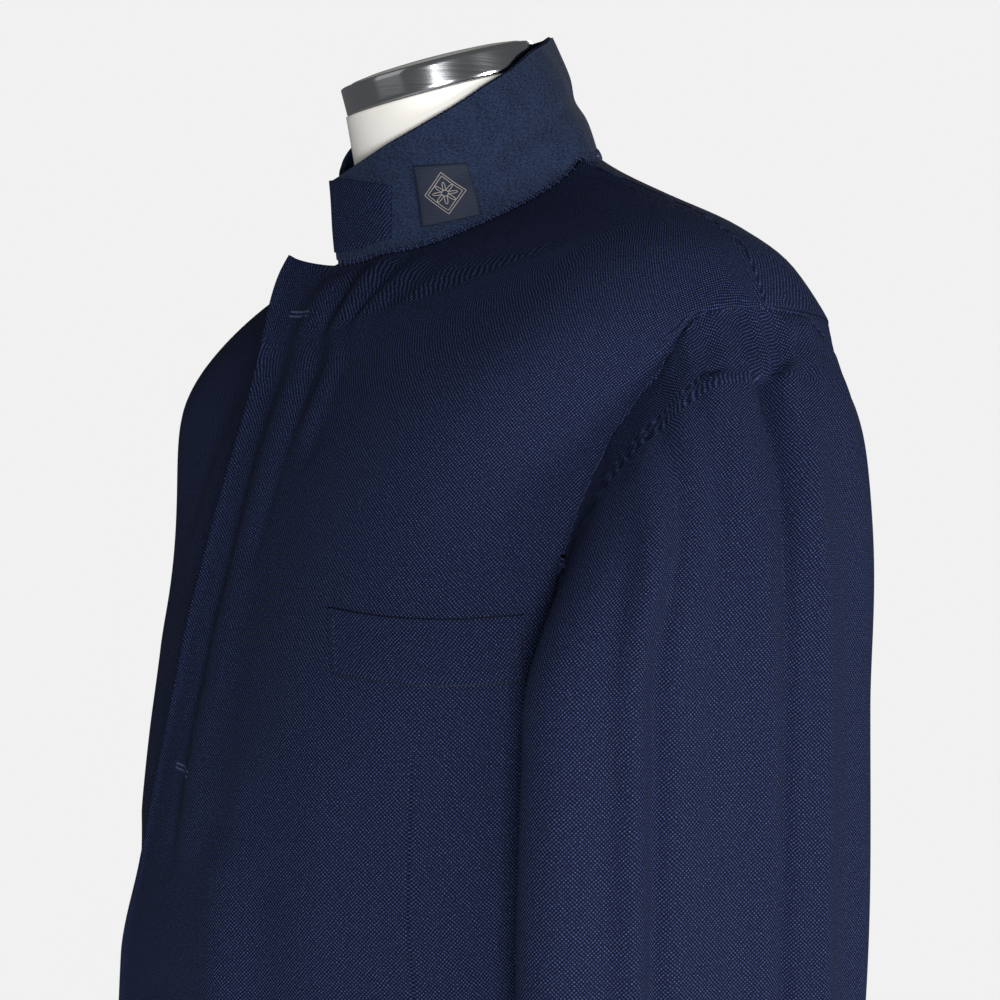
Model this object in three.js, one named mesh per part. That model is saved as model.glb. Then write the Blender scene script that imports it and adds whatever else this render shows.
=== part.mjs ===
// A single-breasted navy blazer worn by a limbless dress form on a low counter stand.
// The collar stands up, the lapels are rolled open flat and the left front laps over the right.
// Millimetres, +Z up. The front faces -Y and +X is the wearer's left. The origin is the middle of
// the stand's underside. Heights in the tables are measured from the neck point, where the
// shoulder seam meets the collar.
import * as THREE from 'three';

// Driving dimensions of the blazer
const NECK_HEIGHT = 930; // neck point above the floor
const CLOTH = 2; // thickness of each cloth wall
const SEAM_GAP = 0.34; // between two pieces that are sewn together
const LAP_OFFSET = 2.6; // how far each front lies from the middle of the lap
const LAP_ANGLE_FULL = 17; // the fronts lie apart up to this angle from the centre
const LAP_ANGLE_END = 42; // and have come together here
const CENTRE_TURN = 12; // the left front leaves the chest's curve at this x
const HALF_CLOTH = CLOTH / 2;
const PATCH_GAP = 0.5; // between a piece and what it is laid on

// Sections of the body from the neck seam down. zFront, zSide and zBack are heights of one section at
// the centre front, side and centre back. widthFront and widthBack are the half widths that its
// front and back halves have at the side, ySide is where the side lies, front and back are how far
// the centres stand from the middle. The square columns are superellipse exponents, and fall is
// how the height drops from side to front. yFrontEnd and yBackEnd are where the front panel ends
// and the back panel starts: the shoulder seam, then the armhole, then the side panel's seams.
const SECTIONS = table(
  ['name', 'zFront', 'zSide', 'zBack', 'widthFront', 'widthBack', 'ySide', 'front', 'back',
    'squareFront', 'squareSide', 'squareBack', 'fall', 'yFrontEnd', 'yBackEnd'],
  [
    ['neck', -62, 0, 14, 76, 76, 10, 98, 48, 2, 2, 2, 0.72, 10, 10],
    ['slope', -88, -26, -30, 140, 140, 18, 117, 64, 2, 1.8, 2.3, 1.2, 18, 18],
    ['shoulder', -114, -48, -64, 190, 190, 24, 129, 84, 2.2, 1.6, 2.8, 1.6, 24, 24],
    ['edge', -138, -66, -90, 216, 216, 26, 140, 96, 2.3, 1.5, 3.4, 1.8, 26, 26],
    ['tip', -168, -97.5, -111, 234, 234, 26, 153, 104, 2.3, 1.5, 4, 2, 26, 26],
    ['crown', -179, -98.5, -113, 230, 234, 24, 157, 105, 2.35, 1.5, 4, 2, -4, 50],
    ['cross', -200, -127.5, -134.6, 213.8, 242, 15, 164, 109, 2.5, 2.2, 4, 2, -26, 80],
    ['blade', -225, -156.8, -163.6, 206, 247, 8, 172, 111, 2.5, 2.3, 4, 2, -47, 92],
    ['scye', -250, -205.8, -204, 199, 242, -8, 179, 113, 2.6, 2.4, 4, 2, -68, 93],
    ['notch', -272, -247.6, -253, 192, 216, -25, 186, 113, 2.7, 2.6, 4, 2, -76, 82],
    ['chest', -292, -292, -292, 190, 190, -40, 191, 111, 2.8, 2.8, 3.2, 2, -76, 78],
    ['rib', -350, -350, -350, 186, 186, -45, 205, 103, 2.6, 2.6, 3, 2, -74, 70],
    ['waist', -413, -413, -413, 184, 184, -50, 215, 95, 2.4, 2.4, 2.8, 2, -72, 62],
    ['low_waist', -468, -468, -468, 184, 184, -52, 221, 98, 2.1, 2.2, 2.6, 2, -70, 62],
    ['hip', -560, -558, -557, 190, 190, -52, 223, 111, 2.15, 2.3, 2.6, 2, -68, 68],
    ['seat', -640, -637, -635, 194, 194, -52, 223, 118, 2.2, 2.3, 2.6, 2, -67, 72],
    ['hem', -722, -716, -713, 197, 197, -52, 220, 120, 2.2, 2.3, 2.6, 2, -66, 75],
  ],
);
const NECK_KEY = 62; // a section's key is how far its centre front lies below the neck point
const TIP_KEY = 168;
const NOTCH_KEY = 272;
const CHEST_KEY = 292;
const HEM_KEY = 722;

// Free edge of the left front: where it stands past the centre, key by key. Its first row is the
// lapel's tip, which stands forward of the chest because the lapel isn't folded back.
const LEFT_EDGE = table(['key', 'x', 'y'], [
  [62, -48, -120], [75, -46, -129], [92, -43, -135], [123, -38, -142], [169, -30, -160],
  [225, -27, -178], [289, -26, -195], [350, -33, -204.5], [413, -44, -213], [468, -53, -221],
  [560, -55, -223], [670, -55, -222], [705, -49, -220], [722, -34, -219],
]);
// Free edge of the right front, which lies under the left one.
const RIGHT_EDGE = table(['key', 'x'], [
  [62, 12], [123, 18], [169, 22], [289, 25], [350, 31], [413, 40], [468, 47], [670, 49], [705, 43],
  [722, 30],
]);

// Folds of the fronts: a soft ridge, or a trough where height is negative, between two places on
// the chest, with a bow to the wearer's left halfway down.
const FRONT_FOLDS = table(['side', 'x0', 'z0', 'x1', 'z1', 'bow', 'width', 'height'], [
  [1, -2, -66, 29, -410, 4, 15, 5.5],
  [1, 27, -58, 50, -178, 8, 11, 4.5],
  [1, 58, -58, 62, -128, 3, 8, 2.5],
  [1, 60, -385, 66, -560, 0, 18, 3.5],
  [1, 92, -395, 96, -540, 0, 14, -3],
  [-1, 64, -92, 78, -250, 4, 16, 4],
  [-1, 92, -395, 98, -545, 0, 16, -3],
]);
const FOLD_FADE = 26; // a fold grows to its full height over this length at each end

// Sleeves. A ring is a level section: its middle, half width outwards and half depth.
const SLEEVE_RINGS = table(['z', 'x', 'y', 'halfWidth', 'halfDepth'], [
  [-310, 235, -14, 38, 104], [-420, 235, -16, 35.5, 106.5], [-500, 235.5, -19, 34, 104],
  [-600, 236.5, -27, 33, 93], [-720, 237.5, -38, 31, 77],
]);
const SLEEVE_SQUARE = 2.4;
const SLEEVE_RISE = 0.6; // how steeply, at the least, the sleeve leaves the armhole outwards under the arm
const SLEEVE_INWARDS = 0.12; // and how far it leans away from the body panel's edge
const SLEEVE_TURN = 0.05; // share of the armhole over which the sleeve rounds its corners
const SLEEVE_GAP = 1; // between the armhole's edge and the sleeve, wider round its bend
const ARMPIT_GAP = 0.9; // and this much more under the arm
const CUFF = -720;
const CAP_RING = -310; // the sleeve's cap runs from the armhole to this height
const FRONT_SEAM_SHARE = 0.62; // where the sleeve's two seams lie on the way from top to armpit
const BACK_SEAM_SHARE = 0.6;
// Folds of the sleeve's outer side: its y at the cap, at mid arm and below, with width and height.
const SLEEVE_FOLDS = table(['yTop', 'yMid', 'yLow', 'width', 'height', 'zTop', 'zLow'], [
  [-26, -38, -57, 9, -4, -125, -690],
  [-41, -55, -78, 10, 3.5, -150, -690],
  [-8, -5, -2, 9, 3, -112, -700],
  [17, 19, 21, 7, -4.5, -108, -700],
  [32, 36, 40, 9, 4, -118, -700],
]);
const SLEEVE_FOLD_MID = -200;
const SLEEVE_FOLD_LOW = -300;

// Collar, standing up: the top edge above each angle of the neck seam. 180 is the centre back, 0
// the centre front, and below 0 the collar's left end passes the centre.
const COLLAR_TOP = table(['angle', 'x', 'y', 'z'], [
  [-9, -18, -105, -8], [0, 0, -103.5, -4], [22, 27, -97, 5], [45, 51, -79, 19], [62, 60, -63, 30],
  [75, 64, -48, 41], [90, 62, -29, 53], [105, 56, -12, 66], [125, 42, 5, 75], [150, 24, 20, 84],
  [180, 0, 32, 88],
]);
const COLLAR_LEFT_END = -9;
const COLLAR_RIGHT_END = 5;
const RIGHT_TUCK = 4; // the right end's top lies this far behind the left end's
const COLLAR_CREASE_AT = 0.46; // share of the collar's height where its fold line shows
const COLLAR_CREASE_DEPTH = 3;
const COLLAR_BULGE = 2.2;
const COLLAR_SEAM_GAP = 0.8; // between the collar's foot and the neck edge
const FELT = 1; // thickness of the felt undercollar
const FELT_START = 2.4; // the felt starts this far above the collar's lower edge
const FELT_END = 0.985; // and ends at this share of its height
const TURNED_END = 1.4; // thickness of the cloth turned over each collar end
// Pieces on the felt, from angle0 at the lower and top0 at the upper edge to angle1, with the shares of
// the collar's height that they cover at each end.
const ON_FELT = table(
  ['name', 'angle0', 'top0', 'low0', 'high0', 'angle1', 'top1', 'low1', 'high1'],
  [
    ['left', -8.7, -8.7, 0.13, 0.99, 24.5, 27.5, 0.13, 0.6],
    ['right', 5.3, 5.3, 0.13, 0.99, 38, 41, 0.13, 0.6],
    ['label', 37, 37, 0.16, 0.7, 58, 58, 0.07, 0.52],
  ],
);
const LABEL_THICK = 0.6;

// Pockets, from one angle round the body to another, and buttons at the centre front.
const WELT = { angle0: 33, angle1: 67, slant: 3.6, top0: -258, top1: -260, sag: 3.5, depth: 33, thick: 1.4 };
const FLAP = { angle0: 34, angle1: 66, key0: 520, key1: 572, thick: 1.8, radius: 14 };
const BUTTON_RADIUS = 10.5;
const BUTTONS = table(['name', 'z', 'thick', 'layer'], [
  ['button_top', -362, 2.4, 'between'], ['button_waist', -495, 4.2, 'outside'],
  ['button_low', -628, 2.4, 'between'],
]);

// The dress form: its own sections below the shoulders, and how far it lies under the cloth there.
const FORM_SECTIONS = table(
  ['zFront', 'zSide', 'zBack', 'width', 'ySide', 'front', 'back', 'square', 'fall'],
  [
    [30.5, 48, 65.5, 59, -40, 99, 19, 2, 1], [0, 22, 44, 59, -35, 93, 24, 2, 1],
    [-66, -20, 10, 60, 4, 84, 34, 2, 2],
    ['shoulder', 72], ['shoulder', 78], ['shoulder', 92], ['shoulder', 110],
    [-138, -71, -92, 197, 20, 122, 86, 2, 2], [-168, -98, -117, 202, 12, 138, 95, 2.1, 2],
    [-215, -160, -175, 188, -8, 158, 101, 2.4, 2], [-292, -290, -290, 168, -34, 172, 99, 2.5, 2],
    [-360, -360, -360, 156, -42, 172, 85, 2.4, 2], [-430, -430, -430, 148, -45, 170, 76, 2.3, 2],
    [-520, -520, -520, 156, -44, 180, 90, 2.3, 2], [-620, -620, -620, 165, -40, 184, 102, 2.3, 2],
    [-735, -735, -735, 163, -38, 176, 103, 2.3, 2],
  ],
);
const FORM_EASE = 1.8; // under the cloth's middle along the shoulder, so the cloth rests on it
const FORM_HOLLOW = 6; // further in at the centre front and back of the shoulders
// Rows of the form's mesh, as places between its sections.
const FORM_ROWS = [0, 1, 1.5, 2, 2.5, 3, 4, 5, 6, 6.5, 7, 7.5, 8, 8.5, 9, 10, 11, 12, 13, 14, 15];
const FORM_COLUMNS = 32;
const BAND = { tilt: 16.5, y: -40, z: 48, radius: 60, wall: 3, height: 17 };

// Stand
const STAND = {
  baseRadius: 170, baseHeight: 12, bossRadius: 30, bossTop: 34, poleRadius: 15,
  flangeRadius: 55, flangeHeight: 6, formBottom: 195, fit: 0.3, edge: 3,
};

// How far the right shoulder stands forward, from which x and over what width, down to which height.
const RIGHT_SHOULDER = { forward: 48, from: 72, over: 150, low: -330, rise: 200 };

// Colours of the pieces
const NAVY = new THREE.MeshStandardMaterial({ color: 0x232a45, roughness: 0.9 });
const FELT_BLUE = new THREE.MeshStandardMaterial({ color: 0x2c3c58, roughness: 0.95 });
const LABEL_BLUE = new THREE.MeshStandardMaterial({ color: 0x33425f, roughness: 0.85 });
const BUTTON_NAVY = new THREE.MeshStandardMaterial({ color: 0x171b2a, roughness: 0.35 });
const CREAM = new THREE.MeshStandardMaterial({ color: 0xf1efe9, roughness: 0.8 });
const STEEL = new THREE.MeshStandardMaterial({ color: 0xb9bcc0, roughness: 0.25, metalness: 1 });
const WHITE_ENAMEL = new THREE.MeshStandardMaterial({ color: 0xe9e7e2, roughness: 0.4 });

const blazer = new THREE.Group();
blazer.name = 'blazer_on_dress_form';

// Tables and smooth values between their rows

function table(columns, rows) {
  return rows.map((row) => Object.fromEntries(columns.map((column, i) => [column, row[i]])));
}

// A smooth curve through the values, with no overshoot between them.
function smoothCurve(keys, values) {
  const steps = keys.slice(1).map((key, i) => key - keys[i]);
  const slopes = steps.map((step, i) => (values[i + 1] - values[i]) / step);
  const tangents = keys.map((_, i) => {
    if (i === 0) return slopes[0];
    if (i === keys.length - 1) return slopes[i - 1];
    if (slopes[i - 1] * slopes[i] <= 0) return 0;
    return (2 * slopes[i - 1] * slopes[i]) / (slopes[i - 1] + slopes[i]);
  });
  return (key) => {
    let i = 0;
    while (i < steps.length - 1 && key > keys[i + 1]) i += 1;
    const s = THREE.MathUtils.clamp((key - keys[i]) / steps[i], 0, 1);
    const rise = values[i + 1] - values[i];
    const bend0 = tangents[i] * steps[i];
    const bend1 = tangents[i + 1] * steps[i];
    return values[i] + s * bend0 + s * s * (3 * rise - 2 * bend0 - bend1)
      + s * s * s * (bend0 + bend1 - 2 * rise);
  };
}

function curves(rows, keyColumn, columns) {
  const keys = rows.map((row) => row[keyColumn]);
  return Object.fromEntries(
    columns.map((column) => [column, smoothCurve(keys, rows.map((row) => row[column]))]),
  );
}

function mix(a, b, t) {
  return a + (b - a) * t;
}

function fade(t) {
  const s = THREE.MathUtils.clamp(t, 0, 1);
  return s * s * (3 - 2 * s);
}

function radians(degrees) {
  return (degrees * Math.PI) / 180;
}

function spread(count, from, to) {
  return Array.from({ length: count }, (_, i) => mix(from, to, i / (count - 1)));
}

// The angle or key between low and high at which a rising function reaches a value.
function solve(rising, value, low, high) {
  let a = low;
  let b = high;
  for (let step = 0; step < 40; step += 1) {
    const middle = (a + b) / 2;
    if (rising(middle) < value) a = middle;
    else b = middle;
  }
  return (a + b) / 2;
}

// Surface of the body

const sectionKeys = SECTIONS.map((row) => ({ ...row, key: -row.zFront }));
const section = curves(sectionKeys, 'key', Object.keys(SECTIONS[0]).slice(1));

// One point of a section: the angle runs from 0 at the centre front through 90 at the wearer's
// left side to 180 at the centre back.
function ringPoint(shape, angle) {
  const sin = Math.abs(Math.sin(radians(angle)));
  const cos = Math.abs(Math.cos(radians(angle)));
  const inFront = Math.abs(angle) <= 90;
  const square = inFront ? mix(shape.squareFront, shape.squareSide, sin ** 6) : shape.squareBack;
  const reach = (sin ** square + cos ** square) ** (-1 / square);
  const width = inFront ? shape.widthFront : shape.widthBack;
  const depth = inFront ? -(shape.front + shape.ySide) : shape.back - shape.ySide;
  const drop = (inFront ? shape.zFront : shape.zBack) - shape.zSide;
  return new THREE.Vector3(
    Math.sign(angle) * width * reach * sin,
    shape.ySide + depth * reach * cos,
    NECK_HEIGHT + shape.zSide + drop * cos ** (inFront ? shape.fall : shape.fallBack ?? 2),
  );
}

function sectionAt(key) {
  return Object.fromEntries(Object.entries(section).map(([column, curve]) => [column, curve(key)]));
}

function bodyPoint(angle, key) {
  return ringPoint(sectionAt(key), angle);
}

// Where the front panel ends and the back panel starts, as angles.
function frontEnd(key) {
  const end = section.yFrontEnd(key);
  if (section.ySide(key) - end < 0.01) return 90;
  return solve((angle) => bodyPoint(angle, key).y, end, 1, 90);
}

function backStart(key) {
  const start = section.yBackEnd(key);
  if (start - section.ySide(key) < 0.01) return 90;
  return solve((angle) => bodyPoint(angle, key).y, start, 90.001, 179);
}

const leftEdge = curves(LEFT_EDGE, 'key', ['x', 'y']);
const rightEdge = curves(RIGHT_EDGE, 'key', ['x']);

// Angle, below or above 0, at which a section reaches an x near the centre.
function angleOfX(x, key) {
  const angle = solve((a) => bodyPoint(a, key).x, Math.abs(x), 0, 89);
  return Math.sign(x) * angle;
}

// The left front past the centre runs on in a parabola to its edge, not round the chest.
function leftPoint(angle, key) {
  const point = bodyPoint(angle, key);
  if (point.x < CENTRE_TURN && angle < 45) {
    const turn = angleOfX(CENTRE_TURN, key);
    const start = bodyPoint(turn, key);
    const next = bodyPoint(turn + 0.5, key);
    const slope = (next.y - start.y) / (next.x - start.x);
    const run = leftEdge.x(key) - CENTRE_TURN;
    const bend = (leftEdge.y(key) - start.y - slope * run) / (run * run);
    const along = point.x - CENTRE_TURN;
    point.y = start.y + slope * along + bend * along * along;
  }
  return point;
}

// Height of all folds of one side at a place of the front, measured out from the chest.
function foldHeight(side, x, z) {
  let height = 0;
  for (const fold of FRONT_FOLDS.filter((row) => row.side === side)) {
    const share = (z - fold.z0) / (fold.z1 - fold.z0);
    const length = Math.abs(fold.z1 - fold.z0);
    const ends = fade((share * length) / FOLD_FADE + 0.3) * fade(((1 - share) * length) / FOLD_FADE);
    const middle = mix(fold.x0, fold.x1, share) + fold.bow * Math.sin(Math.PI * share);
    const across = (x - middle) / fold.width;
    if (share > -0.1 && share < 1) height += fold.height * ends * Math.exp(-(across ** 2));
  }
  return height;
}

// How far a front's middle layer lies outside the plain surface: the lap and its folds.
function frontLift(side, angle, key) {
  const apart = 1 - fade((Math.abs(angle) - LAP_ANGLE_FULL) / (LAP_ANGLE_END - LAP_ANGLE_FULL));
  const place = side > 0 ? leftPoint(angle, key) : bodyPoint(angle, key);
  return side * LAP_OFFSET * apart + foldHeight(side, place.x, place.z - NECK_HEIGHT);
}

// Outward normal of a surface given as a function of angle and key.
function normalOf(surface, angle, key) {
  const across = surface(angle + 0.4, key).sub(surface(angle - 0.4, key));
  const low = Math.max(key - 0.5, NECK_KEY);
  const down = surface(angle, key + 0.5).sub(surface(angle, low));
  return down.cross(across).normalize();
}

// A place on the body's cloth: its middle, and the way out from it. side is 1 for the wearer's
// left and -1 for the right, which is the left turned over in x with its own lap.
function clothAt(side, angle, key) {
  const surface = side > 0 ? leftPoint : bodyPoint;
  const near = Math.abs(angle - 90) < 1.2 && key < TIP_KEY + 1 ? 90 : angle;
  const normal = normalOf(surface, near, key);
  const lift = angle < 90 ? frontLift(side, angle, key) : 0;
  const middle = surface(angle, key).addScaledVector(normal, lift);
  if (side < 0) {
    middle.x = -middle.x;
    normal.x = -normal.x;
  }
  return { middle, normal };
}

// Angle that a length along the cloth takes up at one place.
function angleOf(length, angle, key) {
  return length / bodyPoint(angle + 0.5, key).distanceTo(bodyPoint(angle - 0.5, key));
}

// The wearer's right shoulder stands further forward than the left, with its sleeve and the form.
function settle(point) {
  const aside = fade((-point.x - RIGHT_SHOULDER.from) / RIGHT_SHOULDER.over);
  const high = fade((point.z - NECK_HEIGHT - RIGHT_SHOULDER.low) / RIGHT_SHOULDER.rise);
  return point.clone().setY(point.y - RIGHT_SHOULDER.forward * aside * high);
}

// Walls made from grids of points

// A closed wall between an outer and an inner grid, joined round its four edges.
function wall(outer, inner) {
  const rows = outer.length;
  const columns = outer[0].length;
  const points = [...outer.flat(), ...inner.flat()];
  const under = rows * columns;
  const at = (row, column) => row * columns + column;
  const faces = [];
  for (let row = 0; row < rows - 1; row += 1) {
    for (let column = 0; column < columns - 1; column += 1) {
      const [a, b] = [at(row, column), at(row, column + 1)];
      const [c, d] = [at(row + 1, column + 1), at(row + 1, column)];
      faces.push([a, b, d], [b, c, d], [a + under, d + under, b + under], [b + under, d + under, c + under]);
    }
  }
  const rim = [];
  for (let column = 0; column < columns - 1; column += 1) rim.push(at(0, column));
  for (let row = 0; row < rows - 1; row += 1) rim.push(at(row, columns - 1));
  for (let column = columns - 1; column > 0; column -= 1) rim.push(at(rows - 1, column));
  for (let row = rows - 1; row > 0; row -= 1) rim.push(at(row, 0));
  rim.forEach((from, i) => {
    const to = rim[(i + 1) % rim.length];
    faces.push([to, from, from + under], [to, from + under, to + under]);
  });
  return solid(points, faces);
}

// A closed solid whose faces are turned to point outwards.
function solid(plain, faces) {
  const points = plain.map(settle);
  let volume = 0;
  for (const [a, b, c] of faces) {
    volume += points[a].dot(new THREE.Vector3().crossVectors(points[b], points[c]));
  }
  const order = volume < 0 ? faces.map(([a, b, c]) => [a, c, b]) : faces;
  const geometry = new THREE.BufferGeometry();
  geometry.setAttribute('position', new THREE.Float32BufferAttribute(points.flatMap((p) => p.toArray()), 3));
  geometry.setIndex(order.flat());
  geometry.computeVertexNormals();
  return geometry;
}

// A wall of a given thickness whose middle and normal are found for each row and column.
function clothWall(rows, columns, place, inside = HALF_CLOTH, outside = HALF_CLOTH) {
  const outer = [];
  const inner = [];
  for (const row of rows) {
    const places = columns.map((column) => place(row, column));
    outer.push(places.map(({ middle, normal }) => middle.clone().addScaledVector(normal, outside)));
    inner.push(places.map(({ middle, normal }) => middle.clone().addScaledVector(normal, -inside)));
  }
  return wall(outer, inner);
}

function add(name, geometry, material) {
  const mesh = new THREE.Mesh(geometry, material);
  mesh.name = name;
  blazer.add(mesh);
  return mesh;
}

// Body panels

// Rows of the panels, as keys. Pieces that share a seam have the same rows along it.
const SHOULDER_ROWS = [62, 69, 78, 92, 110, 128, 148, TIP_KEY];
const LOWER_ROWS = [CHEST_KEY, 320, 350, 382, 413, 445, 480, 522, 575, 640, 690];
const FRONT_ROWS = [
  ...SHOULDER_ROWS, 171, 175, 180, 190, 202, 216, 233, 252, NOTCH_KEY, ...LOWER_ROWS, 707, HEM_KEY,
];
const FRONT_COLUMNS = spread(17, 0, 1).map((t) => t ** 1.3);
const BACK_ROWS = [...SHOULDER_ROWS, 172, 179, 200, 225, 250, NOTCH_KEY, ...LOWER_ROWS, HEM_KEY];
const BACK_COLUMNS = spread(9, 0, 1);
const SIDE_COLUMNS = spread(9, 0, 1);
const UNDERARM_DROP = 8; // the side panel's second row lies this much lower under the arm
const EASE = SEAM_GAP / 2; // each piece stops this short of its seam

function frontPanel(side) {
  return clothWall(FRONT_ROWS, FRONT_COLUMNS, (key, share) => {
    const edge = side > 0 ? leftEdge.x(key) : -rightEdge.x(key);
    const start = angleOfX(edge, key);
    const end = frontEnd(key) - angleOf(EASE, frontEnd(key) - 1, key);
    return clothAt(side, mix(start, end, share), key);
  });
}

function backPanel(side) {
  return clothWall(BACK_ROWS, BACK_COLUMNS, (key, share) => {
    const start = backStart(key) + angleOf(EASE, backStart(key) + 1, key);
    const end = 180 - angleOf(EASE, 179, key);
    return clothAt(side, mix(start, end, share), key);
  });
}

// The side panel's upper edge is the bottom of the armhole.
function underarmKey(share) {
  return mix(NOTCH_KEY, CHEST_KEY, Math.sin(Math.PI * share) ** 0.8);
}

function sideAngle(share, key, ease) {
  const start = frontEnd(key) + angleOf(ease, frontEnd(key), key);
  const end = backStart(key) - angleOf(ease, backStart(key), key);
  return mix(start, end, share);
}

function sidePanel(side) {
  return clothWall([0, ...LOWER_ROWS, HEM_KEY], SIDE_COLUMNS, (row, share) => {
    let key = row || underarmKey(share);
    if (row === CHEST_KEY) key += UNDERARM_DROP * Math.sin(Math.PI * share);
    return clothAt(side, sideAngle(share, key, EASE), key);
  });
}

// Sleeves

const sleeveRing = curves(
  SLEEVE_RINGS.map((row) => ({ ...row, down: -row.z })), 'down', ['x', 'y', 'halfWidth', 'halfDepth'],
);

// Points at even steps of length along a line of points.
function evenAlong(line, share) {
  const lengths = line.map((p, i) => (i ? p.middle.distanceTo(line[i - 1].middle) : 0));
  const total = lengths.reduce((sum, length) => sum + length, 0);
  let rest = share * total;
  let i = 1;
  while (i < line.length - 1 && rest > lengths[i]) {
    rest -= lengths[i];
    i += 1;
  }
  const t = Math.min(rest / lengths[i], 1);
  const middle = line[i - 1].middle.clone().lerp(line[i].middle, t);
  const normal = line[i - 1].normal.clone().lerp(line[i].normal, t).normalize();
  return { middle, normal };
}

// Half of the armhole from the shoulder's tip to the armpit, by the front (-1) or the back (1).
function armholeHalf(way) {
  const down = spread(26, TIP_KEY, NOTCH_KEY).map((key) => {
    const angle = way < 0 ? frontEnd(key) : backStart(key);
    return clothAt(1, angle, key);
  });
  const under = spread(9, way < 0 ? 0 : 1, 0.5).slice(1).map((share) => {
    const key = underarmKey(share);
    return clothAt(1, sideAngle(share, key, 0), key);
  });
  return [...down, ...under];
}

const armholes = { '-1': armholeHalf(-1), 1: armholeHalf(1) };
const ARMHOLE_MIDDLE = new THREE.Vector3(212, 5, NECK_HEIGHT - 190);

// Ring of the sleeve at a height: share 0 is its outermost point and 1 the innermost.
function sleeveRingPoint(down, way, share) {
  const line = spread(25, 0, 180).map((angle) => {
    const sin = Math.sin(radians(angle));
    const cos = Math.cos(radians(angle));
    const reach = (Math.abs(sin) ** SLEEVE_SQUARE + Math.abs(cos) ** SLEEVE_SQUARE) ** (-1 / SLEEVE_SQUARE);
    const x = sleeveRing.halfWidth(down) * reach * cos;
    const y = way * sleeveRing.halfDepth(down) * reach * sin;
    return {
      middle: new THREE.Vector3(sleeveRing.x(down) + x, sleeveRing.y(down) + y, NECK_HEIGHT - down),
      normal: new THREE.Vector3(cos / sleeveRing.halfWidth(down), (way * sin) / sleeveRing.halfDepth(down), 0)
        .normalize(),
    };
  });
  return evenAlong(line, share);
}

// A place on the sleeve's plain surface. level runs from 0 at the armhole to 1 at the cap's
// lower ring, and past 1 it is 1 plus the share of the way to the cuff.
function sleevePlain(way, share, level) {
  if (level >= 1) {
    return sleeveRingPoint(mix(-CAP_RING, -CUFF, level - 1), way, share).middle;
  }
  const seam = evenAlong(armholes[way], share);
  const along = evenAlong(armholes[way], Math.min(share + SLEEVE_TURN, 1)).middle
    .sub(evenAlong(armholes[way], Math.max(share - SLEEVE_TURN, 0)).middle);
  const hole = new THREE.Vector3().crossVectors(seam.normal, along).normalize();
  if (hole.dot(ARMHOLE_MIDDLE.clone().sub(seam.middle)) < 0) hole.negate();
  const ring = sleeveRingPoint(-CAP_RING, way, share);
  const start = seam.middle.clone().addScaledVector(hole, SLEEVE_GAP + HALF_CLOTH + ARMPIT_GAP * share);
  const armpit = fade((share - 0.55) / 0.45);
  const out = ring.normal.clone().lerp(new THREE.Vector3(1, 0, 0), armpit);
  out.z = mix(-0.75, -0.15, share);
  out.x += 0.45 * Math.sin(Math.PI * share);
  const rise = SLEEVE_RISE * fade((share - 0.35) / 0.2) - out.dot(seam.normal);
  out.addScaledVector(seam.normal, Math.max(0, rise));
  out.addScaledVector(hole, Math.max(0, SLEEVE_INWARDS - out.dot(hole))); // never back over the body's edge
  const reach = start.distanceTo(ring.middle);
  out.normalize().multiplyScalar(reach * mix(0.75, 0.9, armpit));
  const fall = new THREE.Vector3(0, 0, -reach * 0.95);
  const s = level;
  return start.multiplyScalar(1 - 3 * s * s + 2 * s ** 3)
    .addScaledVector(out, s - 2 * s * s + s ** 3)
    .addScaledVector(ring.middle, 3 * s * s - 2 * s ** 3)
    .addScaledVector(fall, s ** 3 - s * s);
}

function sleeveFoldHeight(point, outward) {
  const z = point.z - NECK_HEIGHT;
  let height = 0;
  for (const fold of SLEEVE_FOLDS) {
    const upper = mix(fold.yTop, fold.yMid, fade((-100 - z) / (-100 - SLEEVE_FOLD_MID)));
    const y = mix(upper, fold.yLow, fade((SLEEVE_FOLD_MID - z) / (SLEEVE_FOLD_MID - SLEEVE_FOLD_LOW)));
    const ends = fade((fold.zTop - z) / 40) * fade((z - fold.zLow) / 90);
    height += fold.height * ends * Math.exp(-(((point.y - y) / fold.width) ** 2));
  }
  return height * Math.max(outward, 0);
}

function sleeveAt(side, share, level) {
  const way = share < 0 ? -1 : 1;
  const part = Math.abs(share);
  const at = (s, l) => (s < 0 ? sleevePlain(-1, -s, l) : sleevePlain(1, s, l));
  const step = 0.004;
  const across = at(share + step, level).sub(at(share - step, level));
  const drop = Math.max(level - 0.01, 0);
  const along = at(share, level + 0.01).sub(at(share, drop));
  const middle = sleevePlain(way, part, level);
  const normal = along.cross(across).normalize();
  middle.addScaledVector(normal, sleeveFoldHeight(middle, normal.x));
  if (side < 0) {
    middle.x = -middle.x;
    normal.x = -normal.x;
  }
  return { middle, normal };
}

const SLEEVE_ROWS = [0, 0.06, 0.16, 0.3, 0.46, 0.63, 0.8, 1, 1.13, 1.3, 1.5, 1.75, 2];
const UPPER_SLEEVE_COLUMNS = 25;
const UNDER_SLEEVE_COLUMNS = 10;
const SLEEVE_EASE = 0.0025; // share of the half round that each sleeve piece stops short of its seam

function upperSleeve(side) {
  const from = -FRONT_SEAM_SHARE + SLEEVE_EASE;
  const columns = spread(UPPER_SLEEVE_COLUMNS, from, BACK_SEAM_SHARE - SLEEVE_EASE);
  return clothWall(SLEEVE_ROWS, columns, (level, share) => sleeveAt(side, share, level));
}

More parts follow.
